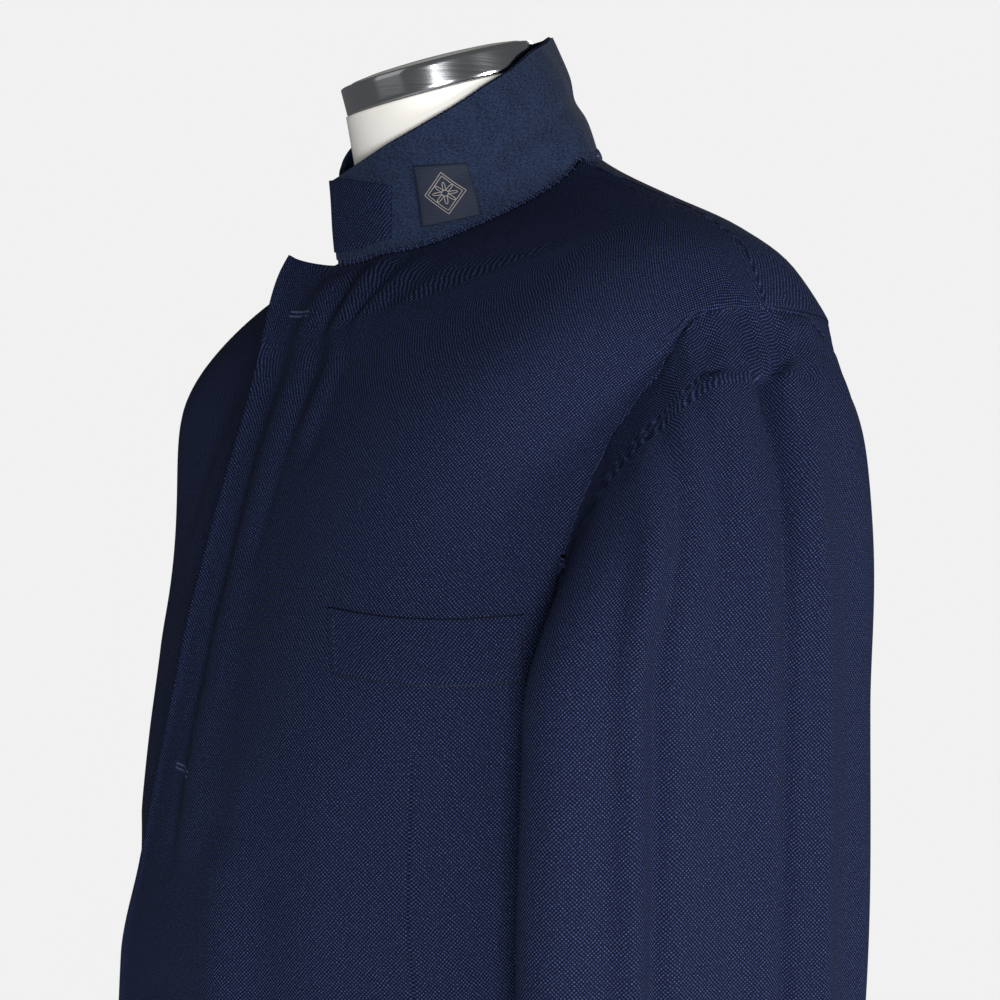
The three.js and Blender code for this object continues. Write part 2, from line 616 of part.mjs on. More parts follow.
// The under sleeve passes the armpit, where the share is 1 by the front and by the back alike.
function underSleeve(side) {
  const end = 2 - BACK_SEAM_SHARE - SLEEVE_EASE;
  const columns = spread(UNDER_SLEEVE_COLUMNS, FRONT_SEAM_SHARE + SLEEVE_EASE, end);
  return clothWall(SLEEVE_ROWS, columns, (level, turn) => (
    sleeveAt(side, turn <= 1 ? -turn : 2 - turn, level)
  ));
}

// Collar

const collarTop = curves(COLLAR_TOP, 'angle', ['x', 'y', 'z']);

// A place on the collar: the angle round the neck seam, and the share of its height.
function collarPoint(side, angle, share) {
  const seam = clothAt(side, angle, NECK_KEY);
  const below = clothAt(side, angle, NECK_KEY + 0.5);
  const inwards = seam.middle.clone().sub(below.middle).normalize();
  const height = NECK_HEIGHT + collarTop.z(angle);
  const top = new THREE.Vector3(side * collarTop.x(angle), collarTop.y(angle), height);
  if (side < 0) {
    const tuck = 1 - fade((angle - COLLAR_RIGHT_END) / 50);
    top.y += RIGHT_TUCK * tuck;
  }
  const rise = top.clone().sub(seam.middle).normalize();
  const turn = Math.sqrt(Math.max(0, 1 - rise.dot(inwards) ** 2));
  const foot = seam.middle.clone().addScaledVector(inwards, COLLAR_SEAM_GAP + turn);
  return foot.lerp(top, share);
}

function collarAt(turn, share) {
  const side = turn < 0 ? -1 : 1;
  const at = (t, s) => (t < 0 ? collarPoint(-1, 180 + t, s) : collarPoint(1, 180 - t, s));
  const across = at(turn + 0.5, share).sub(at(turn - 0.5, share));
  const up = at(turn, 1).sub(at(turn, 0));
  const normal = up.cross(across).normalize();
  const angle = 180 - Math.abs(turn);
  const nape = fade((angle - 20) / 60);
  const crease = -COLLAR_CREASE_DEPTH * nape * Math.exp(-(((share - COLLAR_CREASE_AT) / 0.12) ** 2));
  const bulge = COLLAR_BULGE * nape * Math.sin(Math.PI * share);
  const middle = collarPoint(side, angle, share).addScaledVector(normal, crease + bulge);
  return { middle, normal };
}

const COLLAR_ROWS = [0, 0.16, 0.32, 0.46, 0.6, 0.8, 1];
const COLLAR_START = COLLAR_RIGHT_END - 180; // turn round the neck of the collar's right end
const COLLAR_FINISH = 180 - COLLAR_LEFT_END; // and of its left end
const COLLAR_COLUMNS = spread(40, COLLAR_START, COLLAR_FINISH);

function collarTopGeometry() {
  return clothWall(COLLAR_ROWS, COLLAR_COLUMNS, (share, turn) => collarAt(turn, share));
}

// The felt covers the collar from a little above its seam to just under its top edge.
function feltGeometry() {
  const from = HALF_CLOTH + PATCH_GAP;
  return clothWall(COLLAR_ROWS, COLLAR_COLUMNS, (row, turn) => {
    const height = collarAt(turn, 1).middle.distanceTo(collarAt(turn, 0).middle);
    return collarAt(turn, THREE.MathUtils.clamp(row, FELT_START / height, FELT_END));
  }, -from, from + FELT);
}

// A piece laid on the felt.
function onFelt(side, name, thick) {
  const piece = ON_FELT.find((row) => row.name === name);
  const from = HALF_CLOTH + PATCH_GAP + FELT + PATCH_GAP;
  return clothWall(spread(4, 0, 1), spread(7, 0, 1), (up, along) => {
    const angle = mix(mix(piece.angle0, piece.top0, up), mix(piece.angle1, piece.top1, up), along);
    const share = mix(mix(piece.low0, piece.high0, up), mix(piece.low1, piece.high1, up), along);
    return collarAt(side * (180 - angle), share);
  }, -from, from + thick);
}

// Pockets, laid on the fronts

// Key at which the body's surface has a height, at one angle.
function keyOfHeight(angle, z) {
  return solve((key) => NECK_HEIGHT - bodyPoint(angle, key).z, -z, NECK_KEY, HEM_KEY);
}

function weltGeometry() {
  const from = HALF_CLOTH + PATCH_GAP;
  return clothWall(spread(4, 0, 1), spread(11, 0, 1), (down, along) => {
    const angle = mix(WELT.angle0, WELT.angle1, along) + down * WELT.slant;
    const sag = WELT.sag * Math.sin(Math.PI * along);
    const z = mix(WELT.top0, WELT.top1, along) - sag - down * WELT.depth;
    return clothAt(1, angle, keyOfHeight(angle, z));
  }, -from, from + WELT.thick);
}

function flapGeometry(side) {
  const from = HALF_CLOTH + PATCH_GAP;
  const width = bodyPoint(FLAP.angle0, FLAP.key0).distanceTo(bodyPoint(FLAP.angle1, FLAP.key0));
  return clothWall(spread(4, 0, 1), spread(9, 0, 1), (down, along) => {
    const toEnd = Math.min(along, 1 - along) * width;
    const inCorner = Math.max(0, FLAP.radius - toEnd);
    const lift = FLAP.radius - Math.sqrt(FLAP.radius ** 2 - inCorner ** 2);
    const key = mix(FLAP.key0, FLAP.key1 - lift, down);
    return clothAt(side, mix(FLAP.angle0, FLAP.angle1, along), key);
  }, -from, from + FLAP.thick);
}

// Buttons

function buttonGeometry(thick) {
  const r = BUTTON_RADIUS;
  const profile = [
    [0, 0], [r * 0.8, 0], [r, thick * 0.35], [r, thick * 0.7], [r * 0.9, thick], [r * 0.72, thick],
    [r * 0.6, thick * 0.72], [0, thick * 0.72],
  ];
  return new THREE.LatheGeometry(profile.map(([x, y]) => new THREE.Vector2(x, y)), 16);
}

function addButton({ name, z, thick, layer }) {
  const key = -z;
  const cloth = layer === 'outside' ? clothAt(1, 0, key) : clothAt(-1, 0, key);
  const mesh = add(name, buttonGeometry(thick), BUTTON_NAVY);
  mesh.position.copy(cloth.middle).addScaledVector(cloth.normal, HALF_CLOTH + SEAM_GAP);
  mesh.quaternion.setFromUnitVectors(new THREE.Vector3(0, 1, 0), cloth.normal);
}

// Dress form

// One ring of the form: its own section, or a shoulder section a little under the cloth.
function formRing(row, angles) {
  if (row.zFront === 'shoulder') {
    const key = row.zSide;
    return angles.map((angle) => {
      const turn = angle > 180 ? 360 - angle : angle;
      const normal = normalOf(bodyPoint, turn, key);
      const inset = FORM_EASE + FORM_HOLLOW * (1 - Math.abs(Math.sin(radians(turn))) ** 16);
      const point = bodyPoint(turn, key).addScaledVector(normal, -inset);
      if (angle > 180) point.x = -point.x;
      return point;
    });
  }
  const shape = {
    ...row, widthFront: row.width, widthBack: row.width, squareFront: row.square,
    squareSide: row.square, squareBack: row.square, fallBack: row.fall,
  };
  return angles.map((angle) => {
    const point = ringPoint(shape, angle > 180 ? 360 - angle : angle);
    if (angle > 180) point.x = -point.x;
    return point;
  });
}

function formGeometry() {
  const angles = Array.from({ length: FORM_COLUMNS }, (_, i) => (360 * i) / FORM_COLUMNS);
  const rings = FORM_SECTIONS.map((row) => formRing(row, angles));
  const rowKeys = rings.map((_, i) => i);
  const columns = angles.map((_, column) => ['x', 'y', 'z'].map((axis) => (
    smoothCurve(rowKeys, rings.map((ring) => ring[column][axis]))
  )));
  const points = FORM_ROWS.flatMap((row) => (
    columns.map(([x, y, z]) => new THREE.Vector3(x(row), y(row), z(row)))
  ));
  const faces = [];
  for (let row = 0; row < FORM_ROWS.length - 1; row += 1) {
    for (let column = 0; column < FORM_COLUMNS; column += 1) {
      const next = (column + 1) % FORM_COLUMNS;
      const [a, b] = [row * FORM_COLUMNS + column, row * FORM_COLUMNS + next];
      faces.push([a, b, a + FORM_COLUMNS], [b, b + FORM_COLUMNS, a + FORM_COLUMNS]);
    }
  }
  const last = (FORM_ROWS.length - 1) * FORM_COLUMNS;
  const top = middleOf(points.slice(0, FORM_COLUMNS));
  const bottom = middleOf(points.slice(last));
  points.push(top, bottom);
  for (let column = 0; column < FORM_COLUMNS; column += 1) {
    const next = (column + 1) % FORM_COLUMNS;
    faces.push([next, column, points.length - 2], [last + column, last + next, points.length - 1]);
  }
  return solid(points, faces);
}

function middleOf(points) {
  return points.reduce((sum, p) => sum.add(p), new THREE.Vector3()).divideScalar(points.length);
}

function turned(profile, segments) {
  return new THREE.LatheGeometry(profile.map(([x, y]) => new THREE.Vector2(x, y)), segments)
    .rotateX(Math.PI / 2);
}

// The steel band round the top of the neck and the plug that closes it, both tilted forwards.
function addNeckTop() {
  const { radius, wall: thick, height, tilt, y, z } = BAND;
  const inner = radius - thick;
  const plug = inner - SEAM_GAP;
  const band = turned([
    [inner, SEAM_GAP], [radius - 0.8, SEAM_GAP], [radius, SEAM_GAP + 0.8], [radius, height - 0.8],
    [radius - 0.8, height], [inner, height], [inner, SEAM_GAP],
  ], 36);
  const cap = turned([
    [0, SEAM_GAP], [plug, SEAM_GAP], [plug, height - 1], [plug - 4, height + 1.5], [plug * 0.6, height + 3.5],
    [0, height + 4.5],
  ], 24);
  for (const [name, geometry, material] of [['neck_band', band, STEEL], ['neck_cap', cap, CREAM]]) {
    const mesh = add(name, geometry, material);
    mesh.rotation.x = radians(tilt);
    mesh.position.set(0, y, NECK_HEIGHT + z);
  }
}

function addStand() {
  const s = STAND;
  const flangeTop = s.formBottom - s.fit;
  const poleTop = flangeTop - s.flangeHeight - s.fit;
  add('stand_flange', turned([
    [0, poleTop + s.fit], [s.flangeRadius, poleTop + s.fit], [s.flangeRadius, flangeTop], [0, flangeTop],
  ], 28), STEEL);
  add('stand_pole', turned([
    [0, s.baseHeight + s.fit], [s.poleRadius, s.baseHeight + s.fit], [s.poleRadius, poleTop], [0, poleTop],
  ], 20), STEEL);
  add('stand_base', turned([
    [0, 0], [s.baseRadius - 1, 0], [s.baseRadius, 1], [s.baseRadius, s.baseHeight - s.edge],
    [s.baseRadius - s.edge, s.baseHeight], [s.bossRadius + 4, s.baseHeight], [s.bossRadius, s.baseHeight + 4],
    [s.bossRadius - 3, s.bossTop], [s.poleRadius + s.fit, s.bossTop], [s.poleRadius + s.fit, s.baseHeight],
    [0, s.baseHeight],
  ], 36), WHITE_ENAMEL);
}

// The whole garment, its form and its stand

for (const [side, hand] of [[1, 'left'], [-1, 'right']]) {
  add(`front_${hand}`, frontPanel(side), NAVY);
  add(`side_${hand}`, sidePanel(side), NAVY);
  add(`back_${hand}`, backPanel(side), NAVY);
  add(`sleeve_upper_${hand}`, upperSleeve(side), NAVY);
  add(`sleeve_under_${hand}`, underSleeve(side), NAVY);
  add(`collar_end_${hand}`, onFelt(side, hand, TURNED_END), NAVY);
  add(`hip_flap_${hand}`, flapGeometry(side), NAVY);
}
add('collar_top', collarTopGeometry(), NAVY);
add('collar_felt', feltGeometry(), FELT_BLUE);
add('collar_label', onFelt(1, 'label', LABEL_THICK), LABEL_BLUE);
add('breast_welt', weltGeometry(), NAVY);
BUTTONS.forEach(addButton);
add('form_body', formGeometry(), CREAM);
addNeckTop();
addStand();

export default blazer;
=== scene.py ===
"""A navy wool blazer with its collar standing up, worn by a limbless dress form on a counter stand.

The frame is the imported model's: metres, +Z up, the front faces -Y and +X is the wearer's left. The
tables below are in millimetres, with heights measured from the neck point, where the shoulder seam
meets the collar. Every cloth piece is one sheet on a grid, given its thickness by Solidify.
"""
from __future__ import annotations

import logging
from collections.abc import Callable, Sequence
from dataclasses import dataclass, field
from enum import Enum

import bmesh
import bpy
import numpy as np
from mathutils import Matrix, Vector


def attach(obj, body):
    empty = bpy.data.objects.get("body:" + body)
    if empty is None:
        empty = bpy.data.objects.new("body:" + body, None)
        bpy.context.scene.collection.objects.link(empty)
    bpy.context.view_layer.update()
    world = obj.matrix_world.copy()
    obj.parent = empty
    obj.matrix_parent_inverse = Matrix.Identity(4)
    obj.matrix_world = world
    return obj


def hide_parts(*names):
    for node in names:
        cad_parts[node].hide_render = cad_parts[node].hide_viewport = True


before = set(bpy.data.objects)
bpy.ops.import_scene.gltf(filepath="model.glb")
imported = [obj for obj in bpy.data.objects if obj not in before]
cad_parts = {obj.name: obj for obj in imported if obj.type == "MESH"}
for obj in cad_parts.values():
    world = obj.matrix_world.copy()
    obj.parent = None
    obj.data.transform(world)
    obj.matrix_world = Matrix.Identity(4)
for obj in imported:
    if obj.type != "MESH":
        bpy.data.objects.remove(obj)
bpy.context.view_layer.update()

log = logging.getLogger("blazer")
Array = np.ndarray
Socket = bpy.types.NodeSocket
MM = 0.001

# Sizes that the cut of the blazer shares with its solids, in millimetres
NECK_HEIGHT = 930.0  # neck point above the floor
CLOTH = 2.0  # thickness of the cloth
HALF_CLOTH = CLOTH / 2
SEAM_GAP = 0.34  # between two pieces that are sewn together
PATCH_GAP = 0.5  # between a piece and what it is laid on
LAP_OFFSET = 2.6  # how far each front lies from the middle of the lap
LAP_ANGLE_FULL, LAP_ANGLE_END = 17.0, 42.0  # apart up to the first angle, together at the second
CENTRE_TURN = 12.0  # the left front leaves the chest's curve at this x
NECK_KEY, TIP_KEY, NOTCH_KEY, CHEST_KEY, HEM_KEY = 62.0, 168.0, 272.0, 292.0, 722.0


def table(columns: str, rows: Sequence[Sequence[float]]) -> dict[str, Array]:
    """Columns of a table written row by row.

    Args:
        columns: names of the columns, parted by spaces.
        rows: the table's rows.

    Returns:
        Each column's values under its name.
    """
    values = np.array(rows, float)
    return {name: values[:, i] for i, name in enumerate(columns.split())}


SECTIONS = table(
    "z_front z_side z_back width_front width_back y_side front back "
    "square_front square_side square_back fall y_front_end y_back_end",
    [
        (-62, 0, 14, 76, 76, 10, 98, 48, 2, 2, 2, 0.72, 10, 10),
        (-88, -26, -30, 140, 140, 18, 117, 64, 2, 1.8, 2.3, 1.2, 18, 18),
        (-114, -48, -64, 190, 190, 24, 129, 84, 2.2, 1.6, 2.8, 1.6, 24, 24),
        (-138, -66, -90, 216, 216, 26, 140, 96, 2.3, 1.5, 3.4, 1.8, 26, 26),
        (-168, -97.5, -111, 234, 234, 26, 153, 104, 2.3, 1.5, 4, 2, 26, 26),
        (-179, -98.5, -113, 230, 234, 24, 157, 105, 2.35, 1.5, 4, 2, -4, 50),
        (-200, -127.5, -134.6, 213.8, 242, 15, 164, 109, 2.5, 2.2, 4, 2, -26, 80),
        (-225, -156.8, -163.6, 206, 247, 8, 172, 111, 2.5, 2.3, 4, 2, -47, 92),
        (-250, -205.8, -204, 199, 242, -8, 179, 113, 2.6, 2.4, 4, 2, -68, 93),
        (-272, -247.6, -253, 192, 216, -25, 186, 113, 2.7, 2.6, 4, 2, -76, 82),
        (-292, -292, -292, 190, 190, -40, 191, 111, 2.8, 2.8, 3.2, 2, -76, 78),
        (-350, -350, -350, 186, 186, -45, 205, 103, 2.6, 2.6, 3, 2, -74, 70),
        (-413, -413, -413, 184, 184, -50, 215, 95, 2.4, 2.4, 2.8, 2, -72, 62),
        (-468, -468, -468, 184, 184, -52, 221, 98, 2.1, 2.2, 2.6, 2, -70, 62),
        (-560, -558, -557, 190, 190, -52, 223, 111, 2.15, 2.3, 2.6, 2, -68, 68),
        (-640, -637, -635, 194, 194, -52, 223, 118, 2.2, 2.3, 2.6, 2, -67, 72),
        (-722, -716, -713, 197, 197, -52, 220, 120, 2.2, 2.3, 2.6, 2, -66, 75),
    ],
)
LEFT_EDGE = table("key x y", [
    (62, -48, -120), (75, -46, -129), (92, -43, -135), (123, -38, -142), (169, -30, -160),
    (225, -27, -178), (289, -26, -195), (350, -33, -204.5), (413, -44, -213), (468, -53, -221),
    (560, -55, -223), (670, -55, -222), (705, -49, -220), (722, -34, -219),
])
RIGHT_EDGE = table("key x", [
    (62, 12), (123, 18), (169, 22), (289, 25), (350, 31), (413, 40), (468, 47), (670, 49), (705, 43),
    (722, 30),
])

# Folds of the fronts: a soft ridge, or a trough where height is negative, between two places on
# the chest, with a bow to the wearer's left halfway down. The first seven are in the solids too.
FRONT_FOLDS = table("side x0 z0 x1 z1 bow width height", [
    (1, -2, -66, 29, -410, 4, 15, 5.5),
    (1, 27, -58, 50, -178, 8, 11, 4.5),
    (1, 58, -58, 62, -128, 3, 8, 2.5),
    (1, 60, -385, 66, -560, 0, 18, 3.5),
    (1, 92, -395, 96, -540, 0, 14, -3),
    (-1, 64, -92, 78, -250, 4, 16, 4),
    (-1, 92, -395, 98, -545, 0, 16, -3),
    (1, 84, -62, 104, -118, 3, 8, 1.6),
    (1, 13, -66, 30, -250, 4, 7, -2.6),
    (1, 43, -62, 58, -190, 5, 7, -2.4),
    (1, -24, -100, 2, -420, 6, 8, -2.0),
    (1, 74, -330, 70, -520, -3, 10, 1.1),
    (1, 118, -330, 126, -470, 4, 13, 1.2),
    (1, 176, -330, 170, -500, 2, 9, 1.0),
    (-1, 40, -90, 66, -300, 6, 12, 1.6),
])
FOLD_FADE = 26.0

SLEEVE_RINGS = table("z x y half_width half_depth", [
    (-310, 235, -14, 38, 104), (-420, 235, -16, 35.5, 106.5), (-500, 235.5, -19, 34, 104),
    (-600, 236.5, -27, 33, 93), (-720, 237.5, -38, 31, 77),
])
SLEEVE_SQUARE, SLEEVE_TURN, SLEEVE_RISE, SLEEVE_INWARDS = 2.4, 0.05, 0.6, 0.12
SLEEVE_GAP, ARMPIT_GAP = 1.0, 0.9
CUFF, CAP_RING = -720.0, -310.0
FRONT_SEAM_SHARE, BACK_SEAM_SHARE, SLEEVE_EASE = 0.62, 0.6, 0.0025
SLEEVE_FOLDS = table("y_top y_mid y_low width height z_top z_low", [
    (-26, -46, -66, 6.5, -6, -104, -690),
    (-40, -57, -80, 9, 6, -112, -690),
    (-8, -5, -3, 12, 5, -100, -700),
    (16, 14, 14, 5, -7, -96, -700),
    (28, 31, 36, 9, 5.5, -104, -700),
    (-14, -24, -36, 5, -1.6, -104, -430),
    (3, 3, 5, 5, -1.2, -100, -330),
    (-33, -46, -62, 5, 1.2, -120, -360),
    (-54, -70, -88, 8, -1.6, -170, -640),
    (52, 58, 60, 10, -2.2, -150, -690),
])
SLEEVE_FOLD_MID, SLEEVE_FOLD_LOW = -200.0, -300.0
# Gathers of the sleeve head: where each starts along the armhole, its width and depth, and its length
HEAD_GATHERS = table("share width height length", [
    (-0.43, 0.012, -0.7, 30), (-0.385, 0.013, 0.8, 38), (-0.34, 0.011, -0.9, 44),
    (-0.30, 0.012, 0.9, 40), (-0.255, 0.012, -1.1, 55), (-0.215, 0.011, 1.0, 46),
    (-0.175, 0.010, -1.2, 62), (-0.14, 0.011, 1.2, 58), (-0.10, 0.010, -1.3, 66),
    (-0.065, 0.010, 1.1, 60), (-0.03, 0.009, -1.2, 70), (0.005, 0.010, 1.3, 62),
    (0.045, 0.010, -1.3, 72), (0.085, 0.011, 1.2, 58), (0.13, 0.011, -1.1, 60),
    (0.175, 0.012, 1.0, 48), (0.22, 0.012, -1.0, 50), (0.27, 0.013, 0.8, 40), (0.33, 0.013, -0.7, 36),
])

COLLAR_TOP = table("angle x y z", [
    (-9, -18, -105, -8), (0, 0, -103.5, -4), (22, 27, -97, 5), (45, 51, -79, 19), (62, 60, -63, 30),
    (75, 64, -48, 41), (90, 62, -29, 53), (105, 56, -12, 66), (125, 42, 5, 75), (150, 24, 20, 84),
    (180, 0, 32, 88),
])
COLLAR_LEFT_END, COLLAR_RIGHT_END, RIGHT_TUCK = -9.0, 5.0, 4.0
COLLAR_CREASE_AT, COLLAR_CREASE_DEPTH, COLLAR_BULGE, COLLAR_SEAM_GAP = 0.46, 3.0, 2.2, 0.8
FELT, FELT_START, FELT_END = 1.0, 2.4, 0.985
TURNED_END, LABEL_THICK = 1.4, 0.6

FORM_SECTIONS = table("z_front z_side z_back width y_side front back square fall shoulder", [
    (30.5, 48, 65.5, 59, -40, 99, 19, 2, 1, 0), (0, 22, 44, 59, -35, 93, 24, 2, 1, 0),
    (-66, -20, 10, 60, 4, 84, 34, 2, 2, 0),
    (0, 0, 0, 0, 0, 0, 0, 2, 2, 72), (0, 0, 0, 0, 0, 0, 0, 2, 2, 78), (0, 0, 0, 0, 0, 0, 0, 2, 2, 92),
    (0, 0, 0, 0, 0, 0, 0, 2, 2, 110),
    (-138, -71, -92, 197, 20, 122, 86, 2, 2, 0), (-168, -98, -117, 202, 12, 138, 95, 2.1, 2, 0),
    (-215, -160, -175, 188, -8, 158, 101, 2.4, 2, 0), (-292, -290, -290, 168, -34, 172, 99, 2.5, 2, 0),
    (-360, -360, -360, 156, -42, 172, 85, 2.4, 2, 0), (-430, -430, -430, 148, -45, 170, 76, 2.3, 2, 0),
    (-520, -520, -520, 156, -44, 180, 90, 2.3, 2, 0), (-620, -620, -620, 165, -40, 184, 102, 2.3, 2, 0),
    (-735, -735, -735, 163, -38, 176, 103, 2.3, 2, 0),
])
FORM_EASE, FORM_HOLLOW = 1.8, 6.0

# The right shoulder stands forward of the left: from which x, over what width, down to which height
SHOULDER_FORWARD, SHOULDER_FROM, SHOULDER_OVER = 48.0, 72.0, 150.0
SHOULDER_LOW, SHOULDER_RISE = -330.0, 200.0


class Side(Enum):
    """The wearer's side. Its value is the sign of x there."""

    LEFT = 1
    RIGHT = -1

    @property
    def word(self) -> str:
        """The side's name in a node's name."""
        return self.name.lower()


class Held(Enum):
    """How a cloth piece is held."""

    HUNG = "hung"
    LAID = "laid"
    FOLDED = "folded"


# Arithmetic on whole arrays


def mix(a: Array | float, b: Array | float, t: Array | float) -> Array | float:
    """The value a share t of the way from a to b."""
    return a + (b - a) * t


def fade(t: Array | float) -> Array:
    """A smooth step: 0 up to t = 0, 1 from t = 1, and 3tt - 2ttt between them."""
    s = np.clip(t, 0, 1)
    return s * s * (3 - 2 * s)


def bell(distance: Array, width: Array | float) -> Array:
    """A bell curve: 1 at distance 0, falling to 1/e at one width."""
    return np.exp(-((distance / width) ** 2))


def unit(vectors: Array) -> Array:
    """The vectors along the last axis, each with length 1."""
    return vectors / np.maximum(np.linalg.norm(vectors, axis=-1, keepdims=True), 1e-12)


def solve(rising: Callable[[Array], Array], value: Array, low: float, high: float) -> Array:
    """Where a rising function reaches each value, found by halving the range forty times.

    Args:
        rising: the function, of an array.
        value: the values to reach.
        low: lower end of the range.
        high: upper end of the range.

    Returns:
        The places, one for each value.
    """
    a, b = np.full(np.shape(value), low), np.full(np.shape(value), high)
    for _ in range(40):
        middle = (a + b) / 2
        below = rising(middle) < value
        a, b = np.where(below, middle, a), np.where(below, b, middle)
    return (a + b) / 2


class SmoothCurve:
    """A cubic through a table's values with harmonic mean slopes, so it never overshoots them."""

    def __init__(self, keys: Array, values: Array) -> None:
        """Keeps the table and works out the slope at each key.

        Args:
            keys: rising keys.
            values: the curve's value at each.
        """
        self.keys, self.values, self.steps = keys, values, np.diff(keys)
        slopes = np.diff(values) / self.steps
        product, total = slopes[:-1] * slopes[1:], slopes[:-1] + slopes[1:]
        inner = np.where(product > 0, 2 * product / np.where(total == 0, 1, total), 0)
        self.tangents = np.concatenate([slopes[:1], inner, slopes[-1:]])

    def __call__(self, key: Array | float) -> Array:
        """The curve's values at keys, each a cubic between the two keys of the table beside it.

        Args:
            key: where to read the curve.

        Returns:
            The values, of the same shape.
        """
        key = np.asarray(key, float)
        i = np.clip(np.searchsorted(self.keys, key, side="right") - 1, 0, len(self.steps) - 1)
        s = np.clip((key - self.keys[i]) / self.steps[i], 0, 1)
        rise = self.values[i + 1] - self.values[i]
        bend0, bend1 = self.tangents[i] * self.steps[i], self.tangents[i + 1] * self.steps[i]
        return (self.values[i] + s * bend0 + s**2 * (3 * rise - 2 * bend0 - bend1)
                + s**3 * (bend0 + bend1 - 2 * rise))


def curves(columns: dict[str, Array], keys: Array) -> dict[str, SmoothCurve]:
    """A smooth curve for each column of a table, over the same keys."""
    return {name: SmoothCurve(keys, values) for name, values in columns.items()}


SECTION = curves(SECTIONS, -SECTIONS["z_front"])
LEFT = curves(LEFT_EDGE, LEFT_EDGE["key"])
RIGHT = curves(RIGHT_EDGE, RIGHT_EDGE["key"])
SLEEVE_RING = curves(SLEEVE_RINGS, -SLEEVE_RINGS["z"])
COLLAR_EDGE = curves(COLLAR_TOP, COLLAR_TOP["angle"])


# The body's surface


def ring_point(shape: dict[str, Array], angle: Array) -> Array:
    """One ring: a superellipse in plan whose height drops with a power of the cosine.

    Args:
        shape: the section's sizes, each an array or a number.
        angle: degrees from 0 at the centre front through 90 at the left side to 180 behind.

    Returns:
        Points in millimetres, with z measured from the neck point.
    """
    sin, cos = np.abs(np.sin(np.radians(angle))), np.abs(np.cos(np.radians(angle)))
    ahead = np.abs(angle) <= 90
    square = np.where(ahead, mix(shape["square_front"], shape["square_side"], sin**6), shape["square_back"])
    reach = (sin**square + cos**square) ** (-1 / square)
    width = np.where(ahead, shape["width_front"], shape["width_back"])
    depth = np.where(ahead, -(shape["front"] + shape["y_side"]), shape["back"] - shape["y_side"])
    drop = np.where(ahead, shape["z_front"], shape["z_back"]) - shape["z_side"]
    fall = np.where(ahead, shape["fall"], shape.get("fall_back", 2.0))
    return np.stack([
        np.sign(angle) * width * reach * sin,
        shape["y_side"] + depth * reach * cos,
        shape["z_side"] + drop * cos**fall,
    ], axis=-1)


def body_point(angle: Array, key: Array) -> Array:
    """The body's plain surface: the ring whose sizes the smooth curves give at a key.

    Args:
        angle: degrees round the body.
        key: depth of the centre front under the neck point.

    Returns:
        Points in millimetres.
    """
    angle, key = np.broadcast_arrays(np.asarray(angle, float), np.asarray(key, float))
    rows, place = np.unique(key, return_inverse=True)
    place = place.reshape(key.shape)
    return ring_point({name: curve(rows)[place] for name, curve in SECTION.items()}, angle)


def front_end(key: Array) -> Array:
    """Angle at which the front panel ends: the shoulder seam, the armhole, then the side seam.

    Args:
        key: depths of the centre front.

    Returns:
        Degrees, one for each.
    """
    end = SECTION["y_front_end"](key)
    found = solve(lambda a: body_point(a, key)[..., 1], end, 1, 90)
    return np.where(SECTION["y_side"](key) - end < 0.01, 90.0, found)


def back_start(key: Array) -> Array:
    """Angle at which the back panel starts.

    Args:
        key: depths of the centre front.

    Returns:
        Degrees, one for each.
    """
    start = SECTION["y_back_end"](key)
    found = solve(lambda a: body_point(a, key)[..., 1], start, 90.001, 179)
    return np.where(start - SECTION["y_side"](key) < 0.01, 90.0, found)


def angle_of_x(x: Array, key: Array) -> Array:
    """Angle, below or above 0, at which a section reaches an x near the centre."""
    return np.sign(x) * solve(lambda a: body_point(a, key)[..., 0], np.abs(x), 0, 89)


def left_point(angle: Array, key: Array) -> Array:
    """The left front's plain surface: past the centre it runs on in a parabola to its free edge.

    Args:
        angle: degrees round the body, below 0 past the centre.
        key: depth of the centre front.

    Returns:
        Points in millimetres.
    """
    angle, key = np.broadcast_arrays(np.asarray(angle, float), np.asarray(key, float))
    point = body_point(angle, key)
    rows, place = np.unique(key, return_inverse=True)
    turn = angle_of_x(np.full(rows.shape, CENTRE_TURN), rows)
    start, ahead = body_point(turn, rows), body_point(turn + 0.5, rows)
    slope = (ahead[:, 1] - start[:, 1]) / (ahead[:, 0] - start[:, 0])
    run = LEFT["x"](rows) - CENTRE_TURN
    bend = (LEFT["y"](rows) - start[:, 1] - slope * run) / run**2
    start_y, slope, bend = (values[place].reshape(key.shape) for values in (start[:, 1], slope, bend))
    along = point[..., 0] - CENTRE_TURN
    past = (along < 0) & (angle < 45)
    point[..., 1] = np.where(past, start_y + slope * along + bend * along**2, point[..., 1])
    return point


def fold_height(side: Side, x: Array, z: Array) -> Array:
    """Height of all folds of one side: a bell across each fold's line, faded at both ends.

    Args:
        side: whose folds.
        x: places across the front.
        z: their heights.

    Returns:
        Millimetres along the normal.
    """
    height = np.zeros(np.shape(x))
    for i in np.flatnonzero(FRONT_FOLDS["side"] == side.value):
        fold = {name: column[i] for name, column in FRONT_FOLDS.items()}
        share = (z - fold["z0"]) / (fold["z1"] - fold["z0"])
        length = abs(fold["z1"] - fold["z0"])
        ends = fade(share * length / FOLD_FADE + 0.3) * fade((1 - share) * length / FOLD_FADE)
        line = mix(fold["x0"], fold["x1"], share) + fold["bow"] * np.sin(np.pi * share)
        inside = (share > -0.1) & (share < 1)
        height += np.where(inside, fold["height"] * ends * bell(x - line, fold["width"]), 0)
    return height


